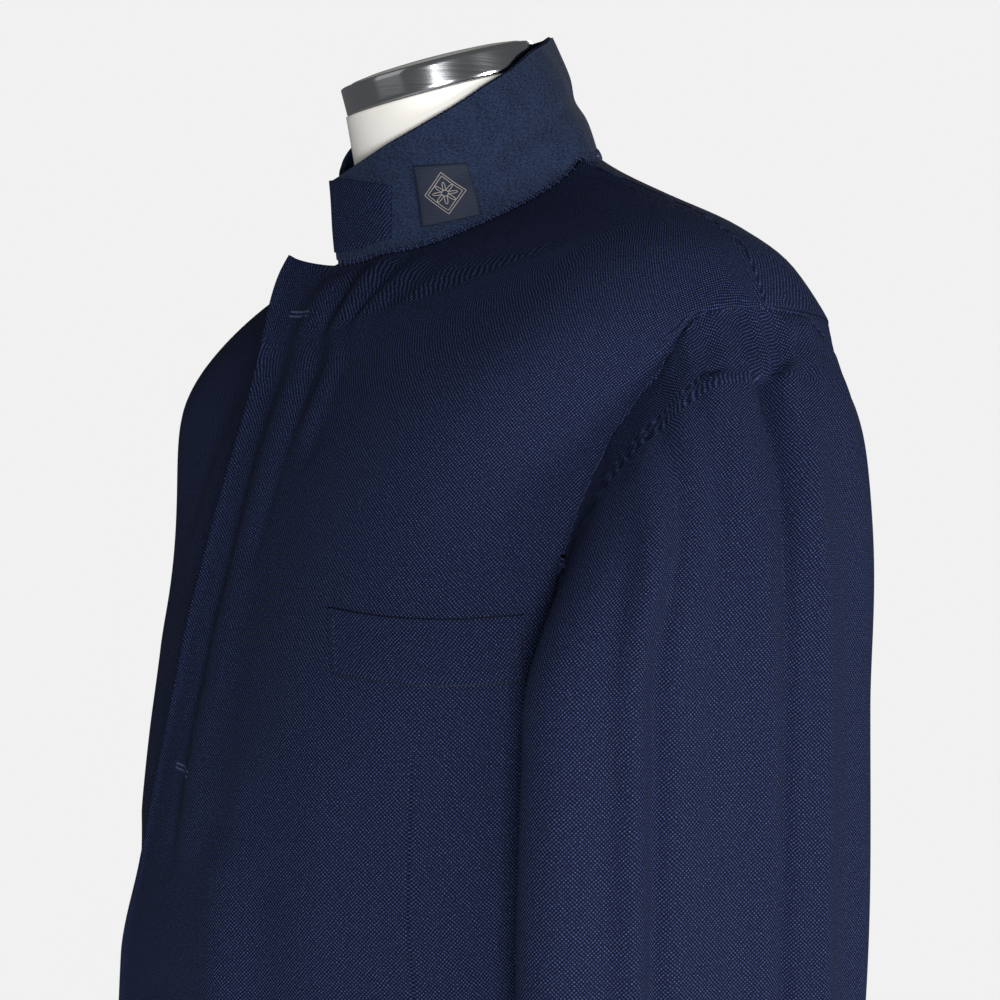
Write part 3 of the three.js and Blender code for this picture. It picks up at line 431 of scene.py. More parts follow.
def front_lift(side: Side, angle: Array, key: Array) -> Array:
    """How far a front lies outside the plain surface: its side of the lap, and its folds.

    Args:
        side: which front.
        angle: degrees round the body.
        key: depth of the centre front.

    Returns:
        Millimetres along the normal.
    """
    apart = 1 - fade((np.abs(angle) - LAP_ANGLE_FULL) / (LAP_ANGLE_END - LAP_ANGLE_FULL))
    place = left_point(angle, key) if side is Side.LEFT else body_point(angle, key)
    return side.value * LAP_OFFSET * apart + fold_height(side, place[..., 0], place[..., 2])


def cloth_at(side: Side, angle: Array, key: Array) -> tuple[Array, Array]:
    """The cloth's middle layer and its outward normal, by central differences on the surface.

    Args:
        side: which side of the blazer; the right is the left turned over in x.
        angle: degrees round the body.
        key: depth of the centre front.

    Returns:
        Points and normals in millimetres, before the right shoulder is settled.
    """
    angle, key = np.broadcast_arrays(np.asarray(angle, float), np.asarray(key, float))
    surface = left_point if side is Side.LEFT else body_point
    near = np.where((np.abs(angle - 90) < 1.2) & (key < TIP_KEY + 1), 90.0, angle)
    across = surface(near + 0.4, key) - surface(near - 0.4, key)
    down = surface(near, key + 0.5) - surface(near, np.maximum(key - 0.5, NECK_KEY))
    normal = unit(np.cross(down, across))
    lift = np.where(angle < 90, front_lift(side, angle, key), 0)
    middle = surface(angle, key) + normal * lift[..., None]
    flip = np.array([side.value, 1, 1])
    return middle * flip, normal * flip


def settle(points: Array) -> Array:
    """Places in metres above the floor, with the right shoulder, its sleeve and the form forward.

    Args:
        points: millimetres from the neck point.

    Returns:
        Metres.
    """
    aside = fade((-points[..., 0] - SHOULDER_FROM) / SHOULDER_OVER)
    high = fade((points[..., 2] - SHOULDER_LOW) / SHOULDER_RISE)
    placed = points.copy()
    placed[..., 1] -= SHOULDER_FORWARD * aside * high
    placed[..., 2] += NECK_HEIGHT
    return placed * MM


# Grids of points and meshes made from them

EDGE_STEPS = np.array([0.3, 0.7, 1.3, 2.1, 3.2, 4.8])  # distances of the closer lines along an edge


def spaced(length: Array, stations: Sequence[Array], counts: Sequence[int]) -> Array:
    """Shares of a length at which grid lines lie, closer together beside each station.

    Args:
        length: length of each row in millimetres.
        stations: shares where the lines crowd, row by row, the first 0 and the last 1.
        counts: how many even lines lie in each gap between stations.

    Returns:
        An array of rows by lines.
    """
    edge = EDGE_STEPS[None, :] / length[:, None]
    parts = [stations[0][:, None]]
    for low, high, count in zip(stations[:-1], stations[1:], counts):
        start, end = low[:, None] + edge, high[:, None] - edge[:, ::-1]
        inner = mix(start[:, -1:], end[:, :1], np.linspace(0, 1, count + 2)[None, 1:-1])
        parts += [start, inner, end, high[:, None]]
    return np.concatenate(parts, axis=1)


def row_places(low: float, high: float, length: float, count: int) -> Array:
    """Places from low to high, closer together at both ends, over a length in millimetres."""
    ends = [np.array([0.0]), np.array([1.0])]
    return mix(low, high, spaced(np.array([length]), ends, [count])[0])


def grid_normals(points: Array, outward: Array) -> Array:
    """Normals of a grid by differences along it, turned to the side of given outward vectors."""
    normal = unit(np.cross(np.gradient(points, axis=0), np.gradient(points, axis=1)))
    return normal * np.sign(np.sum(normal * outward, axis=-1, keepdims=True) + 1e-9)


def cloth_uv(points: Array, reference: int) -> Array:
    """The weave's own coordinates in millimetres: lengths along the rows and up the columns.

    Args:
        points: the sheet's points, rows by columns.
        reference: column that the grain follows.

    Returns:
        Rows by columns by two.
    """
    across = np.cumsum(np.linalg.norm(np.diff(points, axis=1, prepend=points[:, :1]), axis=-1), axis=1)
    down = np.cumsum(np.linalg.norm(np.diff(points, axis=0, prepend=points[:1]), axis=-1), axis=0)
    return np.stack([across - across[:, reference:reference + 1], down[-1:] - down], axis=-1)


def mesh_from_grid(name: str, points: Array, outward: Array, uv: Array | None = None,
                   ring: bool = False) -> bpy.types.Mesh:
    """A quad mesh on a grid, wound so that its faces look outward.

    Args:
        name: the mesh's name.
        points: metres, rows by columns by three.
        outward: vectors that point out of the surface, of the same shape.
        uv: the weave's coordinates, or None.
        ring: whether the last column joins the first.

    Returns:
        The mesh, smooth shaded.
    """
    rows, columns = points.shape[:2]
    index = np.arange(rows * columns).reshape(rows, columns)
    after = np.roll(index, -1, axis=1) if ring else index[:, 1:]
    before = index if ring else index[:, :-1]
    quads = np.stack([before[:-1], after[:-1], after[1:], before[1:]], axis=-1).reshape(-1, 4)
    flat, out = points.reshape(-1, 3), outward.reshape(-1, 3)
    turn = np.cross(flat[quads[:, 2]] - flat[quads[:, 0]], flat[quads[:, 3]] - flat[quads[:, 1]])
    if np.sum(turn * out[quads[:, 0]]) < 0:
        quads = quads[:, ::-1]
    mesh = bpy.data.meshes.new(name)
    mesh.from_pydata(flat, [], quads.tolist())
    if uv is not None:
        layer = mesh.uv_layers.new(name="weave")
        layer.data.foreach_set("uv", uv.reshape(-1, 2)[quads.ravel()].astype(np.float32).ravel())
    mesh.polygons.foreach_set("use_smooth", np.ones(len(quads), bool))
    mesh.update()
    return mesh


def mesh_from_tubes(name: str, paths: Array, outward: Array, radius: Array,
                    sides: int = 6) -> bpy.types.Mesh:
    """Many short threads in one mesh: a ring of sides round every path point, closed at both ends.

    Args:
        name: the mesh's name.
        paths: metres, threads by points by three.
        outward: a vector across each point's path, of the same shape.
        radius: metres, one for each point of a path.
        sides: corners of a thread's section.

    Returns:
        The mesh, smooth shaded.
    """
    threads, count = paths.shape[:2]
    along = unit(np.gradient(paths, axis=1))
    beside = unit(np.cross(along, outward))
    over = np.cross(beside, along)
    turn = np.linspace(0, 2 * np.pi, sides, endpoint=False)
    circle = np.cos(turn)[:, None] * beside[..., None, :] + np.sin(turn)[:, None] * over[..., None, :]
    points = paths[..., None, :] + circle * radius[None, :, None, None]
    index = np.arange(threads * count * sides).reshape(threads, count, sides)
    after = np.roll(index, -1, axis=2)
    quads = np.stack([index[:, :-1], after[:, :-1], after[:, 1:], index[:, 1:]], axis=-1).reshape(-1, 4)
    caps = index[:, 0, ::-1].tolist() + index[:, -1].tolist()
    mesh = bpy.data.meshes.new(name)
    mesh.from_pydata(points.reshape(-1, 3), [], quads.tolist() + caps)
    mesh.polygons.foreach_set("use_smooth", np.ones(len(quads) + len(caps), bool))
    mesh.update()
    return mesh


def mesh_from_profile(name: str, profile: Array, segments: int, tilt: float,
                      place: Array) -> bpy.types.Mesh:
    """A turned piece: a profile of (radius, height) carried round Z, then tilted about X and placed.

    Args:
        name: the mesh's name.
        profile: millimetres, from the bottom outwards to the top, radius 0 at closed ends.
        segments: steps round the axis.
        tilt: degrees about X.
        place: millimetres, with z measured from the floor.

    Returns:
        The mesh, smooth shaded, with one vertex at each pole.
    """
    turn = np.linspace(0, 2 * np.pi, segments, endpoint=False)
    radius, height = profile[:, 0, None], profile[:, 1, None]
    local = np.stack([radius * np.cos(turn), radius * np.sin(turn), height + 0 * turn], axis=-1)
    c, s = np.cos(np.radians(tilt)), np.sin(np.radians(tilt))
    turned = local @ np.array([[1, 0, 0], [0, c, s], [0, -s, c]])
    mesh = bpy.data.meshes.new(name)
    points = (turned + place) * MM
    rows, columns = points.shape[:2]
    index = np.arange(rows * columns).reshape(rows, columns)
    after = np.roll(index, -1, axis=1)
    if np.allclose(profile[0], profile[-1]):
        index[-1], after[-1] = index[0], after[0]
    loops = np.stack([index[:-1], after[:-1], after[1:], index[1:]], axis=-1)
    faces = []
    for row, quads in enumerate(loops):
        if profile[row, 0] == 0:
            faces += [(index[row, 0], c, d) for _, _, c, d in quads.tolist()]
        elif profile[row + 1, 0] == 0:
            faces += [(a, b, index[row + 1, 0]) for a, b, _, _ in quads.tolist()]
        else:
            faces += quads.tolist()
    mesh.from_pydata(points.reshape(-1, 3), [], faces)
    drop_loose(mesh)
    mesh.polygons.foreach_set("use_smooth", np.ones(len(mesh.polygons), bool))
    mesh.update()
    return mesh


def drop_loose(mesh: bpy.types.Mesh) -> None:
    """Deletes the vertices that no face uses.

    Args:
        mesh: changed in place.
    """
    work = bmesh.new()
    work.from_mesh(mesh)
    bmesh.ops.delete(work, geom=[v for v in work.verts if not v.link_faces], context="VERTS")
    work.to_mesh(mesh)
    work.free()


# Finishes


def linear(hex_colour: str) -> tuple[float, float, float, float]:
    """An sRGB colour such as #1b2440, brought to linear light.

    Args:
        hex_colour: the colour.

    Returns:
        Red, green, blue and alpha 1.
    """
    values = np.array([int(hex_colour[i:i + 2], 16) for i in (1, 3, 5)]) / 255
    low = values / 12.92
    high = ((values + 0.055) / 1.055) ** 2.4
    red, green, blue = np.where(values <= 0.04045, low, high)
    return float(red), float(green), float(blue), 1.0


@dataclass
class Finish:
    """Builds a material's nodes."""

    material: bpy.types.Material

    @classmethod
    def named(cls, name: str) -> Finish:
        """A new material with only its output and one Principled shader."""
        material = bpy.data.materials.new(name)
        material.use_nodes = True
        return cls(material)

    @property
    def shader(self) -> bpy.types.Node:
        """The material's Principled shader."""
        return self.material.node_tree.nodes["Principled BSDF"]

    def node(self, kind: str, inputs: dict[str | int, object] | None = None,
             **settings: object) -> bpy.types.Node:
        """Adds a node with its settings; an input that is a socket is linked, and any other is set.

        Args:
            kind: the node's type.
            inputs: a socket or a value for each input's name or number.
            settings: the node's own properties.

        Returns:
            The node.
        """
        tree = self.material.node_tree
        made = tree.nodes.new(kind)
        for name, value in settings.items():
            setattr(made, name, value)
        for name, value in (inputs or {}).items():
            if isinstance(value, bpy.types.NodeSocket):
                tree.links.new(value, made.inputs[name])
            else:
                made.inputs[name].default_value = value
        return made

    def wave(self, value: Socket, period: float) -> Socket:
        """The sine of a length in millimetres, with a period in millimetres."""
        turned = self.node("ShaderNodeMath", {0: value, 1: 2 * np.pi / period}, operation="MULTIPLY")
        return self.node("ShaderNodeMath", {0: turned.outputs[0]}, operation="SINE").outputs[0]

    def sum_of(self, a: Socket, b: Socket | float, by: float) -> Socket:
        """Socket b times a number, plus socket a."""
        return self.node("ShaderNodeMath", {0: b, 1: by, 2: a}, operation="MULTIPLY_ADD").outputs[0]

    def surface(self, roughness: float, **sockets: object) -> None:
        """Sets numbers and colours on the shader's own sockets.

        Args:
            roughness: the shader's roughness.
            sockets: any other value under its socket's name, with _ for a space.
        """
        self.shader.inputs["Roughness"].default_value = roughness
        for name, value in sockets.items():
            self.shader.inputs[name.replace("_", " ")].default_value = value

    def colour(self, socket: Socket) -> None:
        """Links a colour to the shader."""
        self.material.node_tree.links.new(socket, self.shader.inputs["Base Color"])

    def bump(self, height: Socket, depth: float, strength: float = 1.0) -> None:
        """Links a height from 0 to 1 as a bump with a depth in metres."""
        made = self.node("ShaderNodeBump", {"Height": height, "Distance": depth, "Strength": strength})
        self.material.node_tree.links.new(made.outputs["Normal"], self.shader.inputs["Normal"])


@dataclass(frozen=True)
class Hopsack:
    """Wool hopsack: basket-woven floats that catch the light one by one as painted highlights and painted
    glints, on a near-black navy that is partly painted shade between them.
    """

    # the cloth's near-black navy, partly painted shade between the floats
    ground: str = "#040716"
    # painted highlight on the floats' tops
    float_highlight: str = "#1e284b"
    # painted glints where the floats rise highest
    glint: str = "#4a5780"
    pebble: float = 2.1  # millimetres between floats along a yarn; their slanting rows are 1.5 apart
    yarn_depth: float = 0.0004

    def build(self) -> bpy.types.Material:
        """The weave on the piece's own coordinates, which are millimetres along and up the cloth."""
        f = Finish.named("hopsack_wool")
        uv = f.node("ShaderNodeUVMap", uv_map="weave").outputs["UV"]
        drift = f.node("ShaderNodeTexNoise", {"Vector": uv, "Scale": 0.11, "Detail": 2.0},
                       noise_dimensions="2D")
        offset = f.node("ShaderNodeVectorMath", {0: drift.outputs["Color"], 1: (0.5, 0.5, 0.5)},
                        operation="SUBTRACT")
        moved = f.node("ShaderNodeVectorMath", {0: offset.outputs[0], 1: (1.3, 1.3, 0), 2: uv},
                       operation="MULTIPLY_ADD")
        parts = f.node("ShaderNodeSeparateXYZ", {0: moved.outputs[0]}).outputs
        floats = f.node("ShaderNodeMath", {
            0: f.wave(parts["X"], self.pebble), 1: f.wave(parts["Y"], self.pebble),
        }, operation="MULTIPLY").outputs[0]
        yarn = f.node("ShaderNodeTexNoise", {"Vector": uv, "Scale": 0.9, "Detail": 3.0, "Roughness": 0.65},
                      noise_dimensions="2D").outputs["Fac"]
        uneven = f.sum_of(floats, yarn, 1.5)
        # Colour rises with the floats from the ground's painted shade to a painted highlight on their tops,
        # with painted glints on the highest.
        share = f.node("ShaderNodeMapRange", {0: uneven, 1: 0.1, 2: 1.65},
                       interpolation_type="SMOOTHSTEP").outputs[0]
        glint_share = f.node("ShaderNodeMapRange", {0: uneven, 1: 1.35, 2: 1.9}).outputs[0]
        base = f.node("ShaderNodeMix", {
            "Factor": share, 6: linear(self.ground), 7: linear(self.float_highlight),
        }, data_type="RGBA")
        lit = f.node("ShaderNodeMix", {"Factor": glint_share, 6: base.outputs[2], 7: linear(self.glint)},
                     data_type="RGBA")
        f.colour(lit.outputs[2])
        f.bump(share, self.yarn_depth, 0.8)
        f.surface(0.85, Specular_IOR_Level=0.12, Sheen_Weight=0.02, Sheen_Roughness=0.45,
                  Sheen_Tint=linear("#7f90c0"))
        return f.material


@dataclass(frozen=True)
class UndercollarFelt:
    """Pressed wool felt in heathered blue: matted fibres, lighter and darker, with no weave."""

    ground: str = "#0a101e"
    fibre: str = "#263450"

    def build(self) -> bpy.types.Material:
        """Two layers of noise on the piece's own coordinates, one drawn out along it as fibres."""
        f = Finish.named("undercollar_felt")
        uv = f.node("ShaderNodeUVMap", uv_map="weave").outputs["UV"]
        drawn = f.node("ShaderNodeMapping", {
            "Vector": uv, "Scale": (0.5, 1.3, 1.0), "Rotation": (0, 0, 0.5)})
        fibres = f.node("ShaderNodeTexNoise", {"Vector": drawn.outputs[0], "Scale": 1.0, "Detail": 4.0,
                                               "Roughness": 0.75}, noise_dimensions="2D").outputs["Fac"]
        cloud = f.node("ShaderNodeTexNoise", {"Vector": uv, "Scale": 0.09, "Detail": 2.0},
                       noise_dimensions="2D").outputs["Fac"]
        total = f.sum_of(fibres, cloud, 0.12)
        share = f.node("ShaderNodeMapRange", {0: total, 1: 0.36, 2: 0.76},
                       interpolation_type="SMOOTHSTEP").outputs[0]
        mixed = f.node("ShaderNodeMix", {"Factor": share, 6: linear(self.ground), 7: linear(self.fibre)},
                       data_type="RGBA")
        f.colour(mixed.outputs[2])
        f.bump(fibres, 0.00025, 0.8)
        f.surface(0.92, Specular_IOR_Level=0.15, Sheen_Weight=0.04, Sheen_Roughness=0.5)
        return f.material


@dataclass(frozen=True)
class WovenLabel:
    """A woven satin patch: fine weft lines across it, a little smoother than the felt."""

    ground: str = "#0b1120"
    line: str = "#1b2740"
    weft: float = 1.1  # millimetres, drawn coarser than the real 0.3 so that it shows

    def build(self) -> bpy.types.Material:
        """Weft lines on the piece's own coordinates, made uneven by noise."""
        f = Finish.named("woven_label")
        uv = f.node("ShaderNodeUVMap", uv_map="weave").outputs["UV"]
        parts = f.node("ShaderNodeSeparateXYZ", {0: uv}).outputs
        slub = f.node("ShaderNodeTexNoise", {"Vector": uv, "Scale": 1.2, "Detail": 3.0},
                      noise_dimensions="2D").outputs["Fac"]
        lines = f.sum_of(f.wave(parts["Y"], self.weft), slub, 1.6)
        share = f.node("ShaderNodeMapRange", {0: lines, 1: 0.2, 2: 2.2}).outputs[0]
        mixed = f.node("ShaderNodeMix", {"Factor": share, 6: linear(self.ground), 7: linear(self.line)},
                       data_type="RGBA")
        f.colour(mixed.outputs[2])
        f.bump(share, 0.00008, 0.6)
        f.surface(0.7, Specular_IOR_Level=0.3)
        return f.material


@dataclass(frozen=True)
class SewingThread:
    """Twisted silk or cotton thread, with its twist as slanting bands."""

    name: str
    light: str
    dark: str

    def build(self) -> bpy.types.Material:
        """Fine noise on Object coordinates between two tones."""
        f = Finish.named(self.name)
        place = f.node("ShaderNodeTexCoord").outputs["Object"]
        twist = f.node("ShaderNodeTexNoise", {
            "Vector": place, "Scale": 1800.0, "Detail": 2.0}).outputs["Fac"]
        mixed = f.node("ShaderNodeMix", {"Factor": twist, 6: linear(self.dark), 7: linear(self.light)},
                       data_type="RGBA")
        f.colour(mixed.outputs[2])
        f.surface(0.6, Specular_IOR_Level=0.4)
        return f.material


@dataclass(frozen=True)
class CoverCloth:
    """Cream cotton stretched over padding: a plain weave, nearly smooth, with faint cloudiness."""

    light: str = "#faf8f2"
    shade: str = "#efece4"
    thread: float = 0.9  # millimetres, drawn coarser than the real 0.4 so that it shows

    def build(self) -> bpy.types.Material:
        """A plain weave on Object coordinates, with slow noise for colour."""
        f = Finish.named("cotton_form_cover")
        place = f.node("ShaderNodeTexCoord").outputs["Object"]
        cloud = f.node("ShaderNodeTexNoise", {"Vector": place, "Scale": 14.0, "Detail": 4.0}).outputs["Fac"]
        mixed = f.node("ShaderNodeMix", {"Factor": cloud, 6: linear(self.shade), 7: linear(self.light)},
                       data_type="RGBA")
        size = 1 / (self.thread * MM)
        weave = f.node("ShaderNodeTexNoise", {"Vector": place, "Scale": size, "Detail": 1.0}).outputs["Fac"]
        f.colour(mixed.outputs[2])
        f.bump(weave, 0.00012, 0.5)
        f.surface(0.78, Specular_IOR_Level=0.3, Sheen_Weight=0.08, Sheen_Roughness=0.5)
        return f.material


@dataclass(frozen=True)
class Steel:
    """Stainless steel: polished on the neck band, brushed round the pole."""

    name: str
    roughness: float
    colour: str = "#c9cbce"

    def build(self) -> bpy.types.Material:
        """Metal with fine brush lines drawn out level, from Object coordinates."""
        f = Finish.named(self.name)
        place = f.node("ShaderNodeTexCoord").outputs["Object"]
        drawn = f.node("ShaderNodeMapping", {"Vector": place, "Scale": (12.0, 12.0, 1400.0)})
        lines = f.node("ShaderNodeTexNoise", {
            "Vector": drawn.outputs[0], "Scale": 1.0, "Detail": 3.0}).outputs["Fac"]
        rough = f.node("ShaderNodeMapRange", {0: lines, 1: 0.3, 2: 0.7, 3: self.roughness * 0.8,
                                              4: self.roughness * 1.3}).outputs[0]
        f.surface(self.roughness, Metallic=1.0, Base_Color=linear(self.colour))
        f.material.node_tree.links.new(rough, f.shader.inputs["Roughness"])
        f.bump(lines, 0.00002, 0.35)
        return f.material


@dataclass(frozen=True)
class Enamel:
    """Off-white baked enamel: smooth and softly glossy, with a faint orange peel."""

    colour: str = "#e9e6df"
    shade: str = "#e4e1da"

    def build(self) -> bpy.types.Material:
        """Orange peel 3 mm across, on Object coordinates."""
        f = Finish.named("baked_enamel")
        place = f.node("ShaderNodeTexCoord").outputs["Object"]
        peel = f.node("ShaderNodeTexNoise", {"Vector": place, "Scale": 330.0, "Detail": 2.0}).outputs["Fac"]
        tone = f.node("ShaderNodeMix", {"Factor": peel, 6: linear(self.shade), 7: linear(self.colour)},
                      data_type="RGBA")
        f.colour(tone.outputs[2])
        f.bump(peel, 0.00004, 0.4)
        f.surface(0.34, Coat_Weight=0.3)
        return f.material


@dataclass(frozen=True)
class Horn:
    """Dyed horn: dark, streaked, with a low polish."""

    dark: str = "#10131f"
    streak: str = "#2b3145"

    def build(self) -> bpy.types.Material:
        """Streaks drawn out along X, on Object coordinates."""
        f = Finish.named("dyed_horn")
        place = f.node("ShaderNodeTexCoord").outputs["Object"]
        drawn = f.node("ShaderNodeMapping", {"Vector": place, "Scale": (120.0, 300.0, 900.0)})
        streaks = f.node("ShaderNodeTexNoise", {"Vector": drawn.outputs[0], "Scale": 1.0, "Detail": 5.0,
                                                "Distortion": 0.8}).outputs["Fac"]
        share = f.node("ShaderNodeMapRange", {0: streaks, 1: 0.42, 2: 0.7}).outputs[0]
        mixed = f.node("ShaderNodeMix", {"Factor": share, 6: linear(self.dark), 7: linear(self.streak)},
                       data_type="RGBA")
        f.colour(mixed.outputs[2])
        f.bump(streaks, 0.00003, 0.3)
        f.surface(0.32)
        return f.material


@dataclass
class Workroom:
    """All finishes, and the one way in which a piece enters the scene."""

    wool: bpy.types.Material = field(default_factory=lambda: Hopsack().build())
    felt: bpy.types.Material = field(default_factory=lambda: UndercollarFelt().build())
    label: bpy.types.Material = field(default_factory=lambda: WovenLabel().build())
    navy_thread: bpy.types.Material = field(
        default_factory=lambda: SewingThread("navy_thread", "#3a4668", "#161d33").build())
    # near-black: the welt's seam lines, and a painted shadow line along its open top edge
    seam_and_shade_thread: bpy.types.Material = field(
        default_factory=lambda: SewingThread("seam_and_shade_thread", "#10142a", "#05070f").build())
    grey_thread: bpy.types.Material = field(
        default_factory=lambda: SewingThread("grey_thread", "#a39d97", "#6f6a68").build())
    cover: bpy.types.Material = field(default_factory=lambda: CoverCloth().build())
    polished: bpy.types.Material = field(default_factory=lambda: Steel("polished_steel", 0.14).build())
    brushed: bpy.types.Material = field(default_factory=lambda: Steel("brushed_steel", 0.3).build())
    enamel: bpy.types.Material = field(default_factory=lambda: Enamel().build())
    horn: bpy.types.Material = field(default_factory=lambda: Horn().build())

    def place(self, mesh: bpy.types.Mesh, finish: bpy.types.Material, slot: str,
              *nodes: str) -> bpy.types.Object:
        """Puts a mesh in the scene as a piece that rides on the body.

        Args:
            mesh: the piece's mesh, in place.
            finish: its material.
            slot: not used.
            nodes: the solids that it stands for.

        Returns:
            The piece.
        """
        piece = bpy.data.objects.new(mesh.name, mesh)
        bpy.context.scene.collection.objects.link(piece)
        mesh.materials.append(finish)
        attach(piece, "root")
        if nodes:
            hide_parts(*nodes)
        log.info("%s: %d faces", mesh.name, len(mesh.polygons))
        return piece

    def sheet(self, piece: bpy.types.Object, thick: float, cut: tuple[float, float], area: float,
              held: Held, rests_on: Sequence[str]) -> bpy.types.Object:
        """Gives a piece its thickness, evenly to both sides.

        Args:
            piece: the sheet.
            thick: millimetres.
            cut: not used.
            area: not used.
            held: not used.
            rests_on: not used.

        Returns:
            The piece.
        """
        shell = piece.modifiers.new("thickness", "SOLIDIFY")
        shell.thickness = thick * MM
        shell.offset = 0
        shell.use_quality_normals = True
        return piece


# The blazer


@dataclass
class BodyPanels:
    """Fronts, side bodies and backs."""

    room: Workroom
    front_cut: tuple[float, float] = (0.36, 0.74)
    front_area: float = 0.205
    side_cut: tuple[float, float] = (0.17, 0.46)
    side_area: float = 0.068
    back_cut: tuple[float, float] = (0.27, 0.76)
    back_area: float = 0.16
    dart_x: tuple[float, float] = (162.4, 156.0)
    dart_z: tuple[float, float] = (-322.0, -585.0)
    dart_depth: float = 0.9
    dart_limit: float = 0.93  # share of the panel's reach that the dart stays within
    seam_depth: float = 0.45
    bead: float = 0.45
    edge_rise: float = 1.9  # how far the pressed edge tilts outwards
    edge_width: float = 6.0  # over which its last millimetres do so
    ease: float = 0.03
    shoulder_passes: int = 90

    def make(self) -> None:
        """Builds the six panels."""
        for side in Side:
            self.front(side)
            self.side_body(side)
            self.back(side)

    def angle_step(self, length: float, angle: Array, key: Array) -> Array:
        """Angle that a length along the cloth takes up at one place."""
        step = body_point(angle + 0.5, key) - body_point(angle - 0.5, key)
        return length / np.linalg.norm(step, axis=-1)

    def smooth_shoulder(self, points: Array, to_end: Array) -> Array:
        """Evens out the chest below the shoulder along its columns, away from the armhole.

        Each pass moves a point half the way to the middle of the points above and below it.

        Args:
            points: the panel, rows by columns by three.
            to_end: each point's distance from the panel's far edge.

        Returns:
            The evened panel.
        """
        eased = points.copy()
        z = points[..., 2]
        share = fade((z + 265) / 40) * fade((-58 - z) / 40) * fade((to_end - 6) / 30)
        for _ in range(self.shoulder_passes):
            middle = (eased[:-2] + eased[2:]) / 2 - eased[1:-1]
            eased[1:-1] += 0.5 * share[1:-1, :, None] * middle
        return eased

    def front(self, side: Side) -> None:
        """A front panel, from its free edge to the shoulder seam, armhole and side seam.

        Args:
            side: the left laps over the right.
        """
        keys = row_places(NECK_KEY, HEM_KEY, 690, 200)
        end = front_end(keys) - self.angle_step(self.ease, front_end(keys) - 1, keys)
        edge = LEFT["x"](keys) if side is Side.LEFT else -RIGHT["x"](keys)
        start = angle_of_x(edge, keys)
        length = np.linalg.norm(body_point(end, keys) - body_point(start, keys), axis=-1) * 1.12
        zero, one = np.zeros(len(keys)), np.ones(len(keys))
        dart_down = np.clip((-keys - self.dart_z[0]) / (self.dart_z[1] - self.dart_z[0]), 0, 1)
        dart_x = np.minimum(mix(*self.dart_x, dart_down), self.dart_limit * body_point(end, keys)[:, 0])
        dart = (angle_of_x(dart_x, keys) - start) / (end - start)
        shares = spaced(length, [zero, dart, one], [64, 22])
        angle = mix(start[:, None], end[:, None], shares)
        key = np.broadcast_to(keys[:, None], angle.shape)
        surface = left_point if side is Side.LEFT else body_point
        base = surface(angle, key)
        to_end = (1 - shares) * length[:, None]
        eased = self.smooth_shoulder(base, to_end)
        _, normal = cloth_at(side, angle, key)
        normal = normal * np.array([side.value, 1, 1])
        to_start = shares * length[:, None]
        to_dart = (shares - dart[:, None]) * length[:, None]
        z = base[..., 2]
        darted = fade((self.dart_z[0] - z) / 22) * fade((z - self.dart_z[1]) / 22)
        lift = front_lift(side, angle, key)
        lift = lift - self.dart_depth * darted * bell(to_dart, 0.9)
        lift = lift + 0.4 * darted * bell(to_dart - 3.5, 3)
        lift = lift - self.seam_depth * bell(to_end, 1.4) - 0.5 * bell((key - NECK_KEY) * 1.3, 1.5)
        lift = lift + self.edge_rise * fade(1 - to_start / self.edge_width)
        lift = lift + self.bead * bell((HEM_KEY - key) - 1.6, 1.8)
        middle = (eased + normal * lift[..., None]) * np.array([side.value, 1, 1])
        out = normal * np.array([side.value, 1, 1])
        uv = cloth_uv(middle, EDGE_STEPS.size * 2 + 64)
        mesh = mesh_from_grid(f"front_{side.word}_cloth", settle(middle), out, uv)
        piece = self.room.place(mesh, self.room.wool, "wool", f"front_{side.word}")
        self.room.sheet(piece, CLOTH, self.front_cut, self.front_area, Held.HUNG, ["form_cover"])

    def back(self, side: Side) -> None:
        """A back panel, from the shoulder seam, armhole and side seam to the centre seam.

        Args:
            side: which back.
        """
        keys = row_places(NECK_KEY, HEM_KEY, 690, 150)
        start = back_start(keys) + self.angle_step(self.ease, back_start(keys) + 1, keys)
        end = 180 - self.angle_step(self.ease, np.full(keys.shape, 179.0), keys)
        length = np.linalg.norm(body_point(end, keys) - body_point(start, keys), axis=-1) * 1.08
        shares = spaced(length, [np.zeros(len(keys)), np.ones(len(keys))], [60])
        angle = mix(start[:, None], end[:, None], shares)
        key = np.broadcast_to(keys[:, None], angle.shape)
        middle, normal = cloth_at(side, angle, key)
        to_side, to_centre = shares * length[:, None], (1 - shares) * length[:, None]
        x, z = np.abs(middle[..., 0]), middle[..., 2]
        drape = 1.6 * np.sin(x / 19 + 0.8) * fade((-390 - z) / 120) * fade((x - 14) / 40)
        drape = drape + (1.2 * bell(x - 128 - (z + 180) * 0.12, 15)
                         * fade((-130 - z) / 50) * fade((z + 320) / 60))
        lift = drape - self.seam_depth * (bell(to_side, 1.4) + bell(to_centre, 1.4))
        lift = lift + self.bead * bell((HEM_KEY - key) - 1.6, 1.8)
        middle = middle + normal * lift[..., None]
        uv = cloth_uv(middle, middle.shape[1] - 1)
        mesh = mesh_from_grid(f"back_{side.word}_cloth", settle(middle), normal, uv)
        piece = self.room.place(mesh, self.room.wool, "wool", f"back_{side.word}")
        self.room.sheet(piece, CLOTH, self.back_cut, self.back_area, Held.HUNG, ["form_cover"])

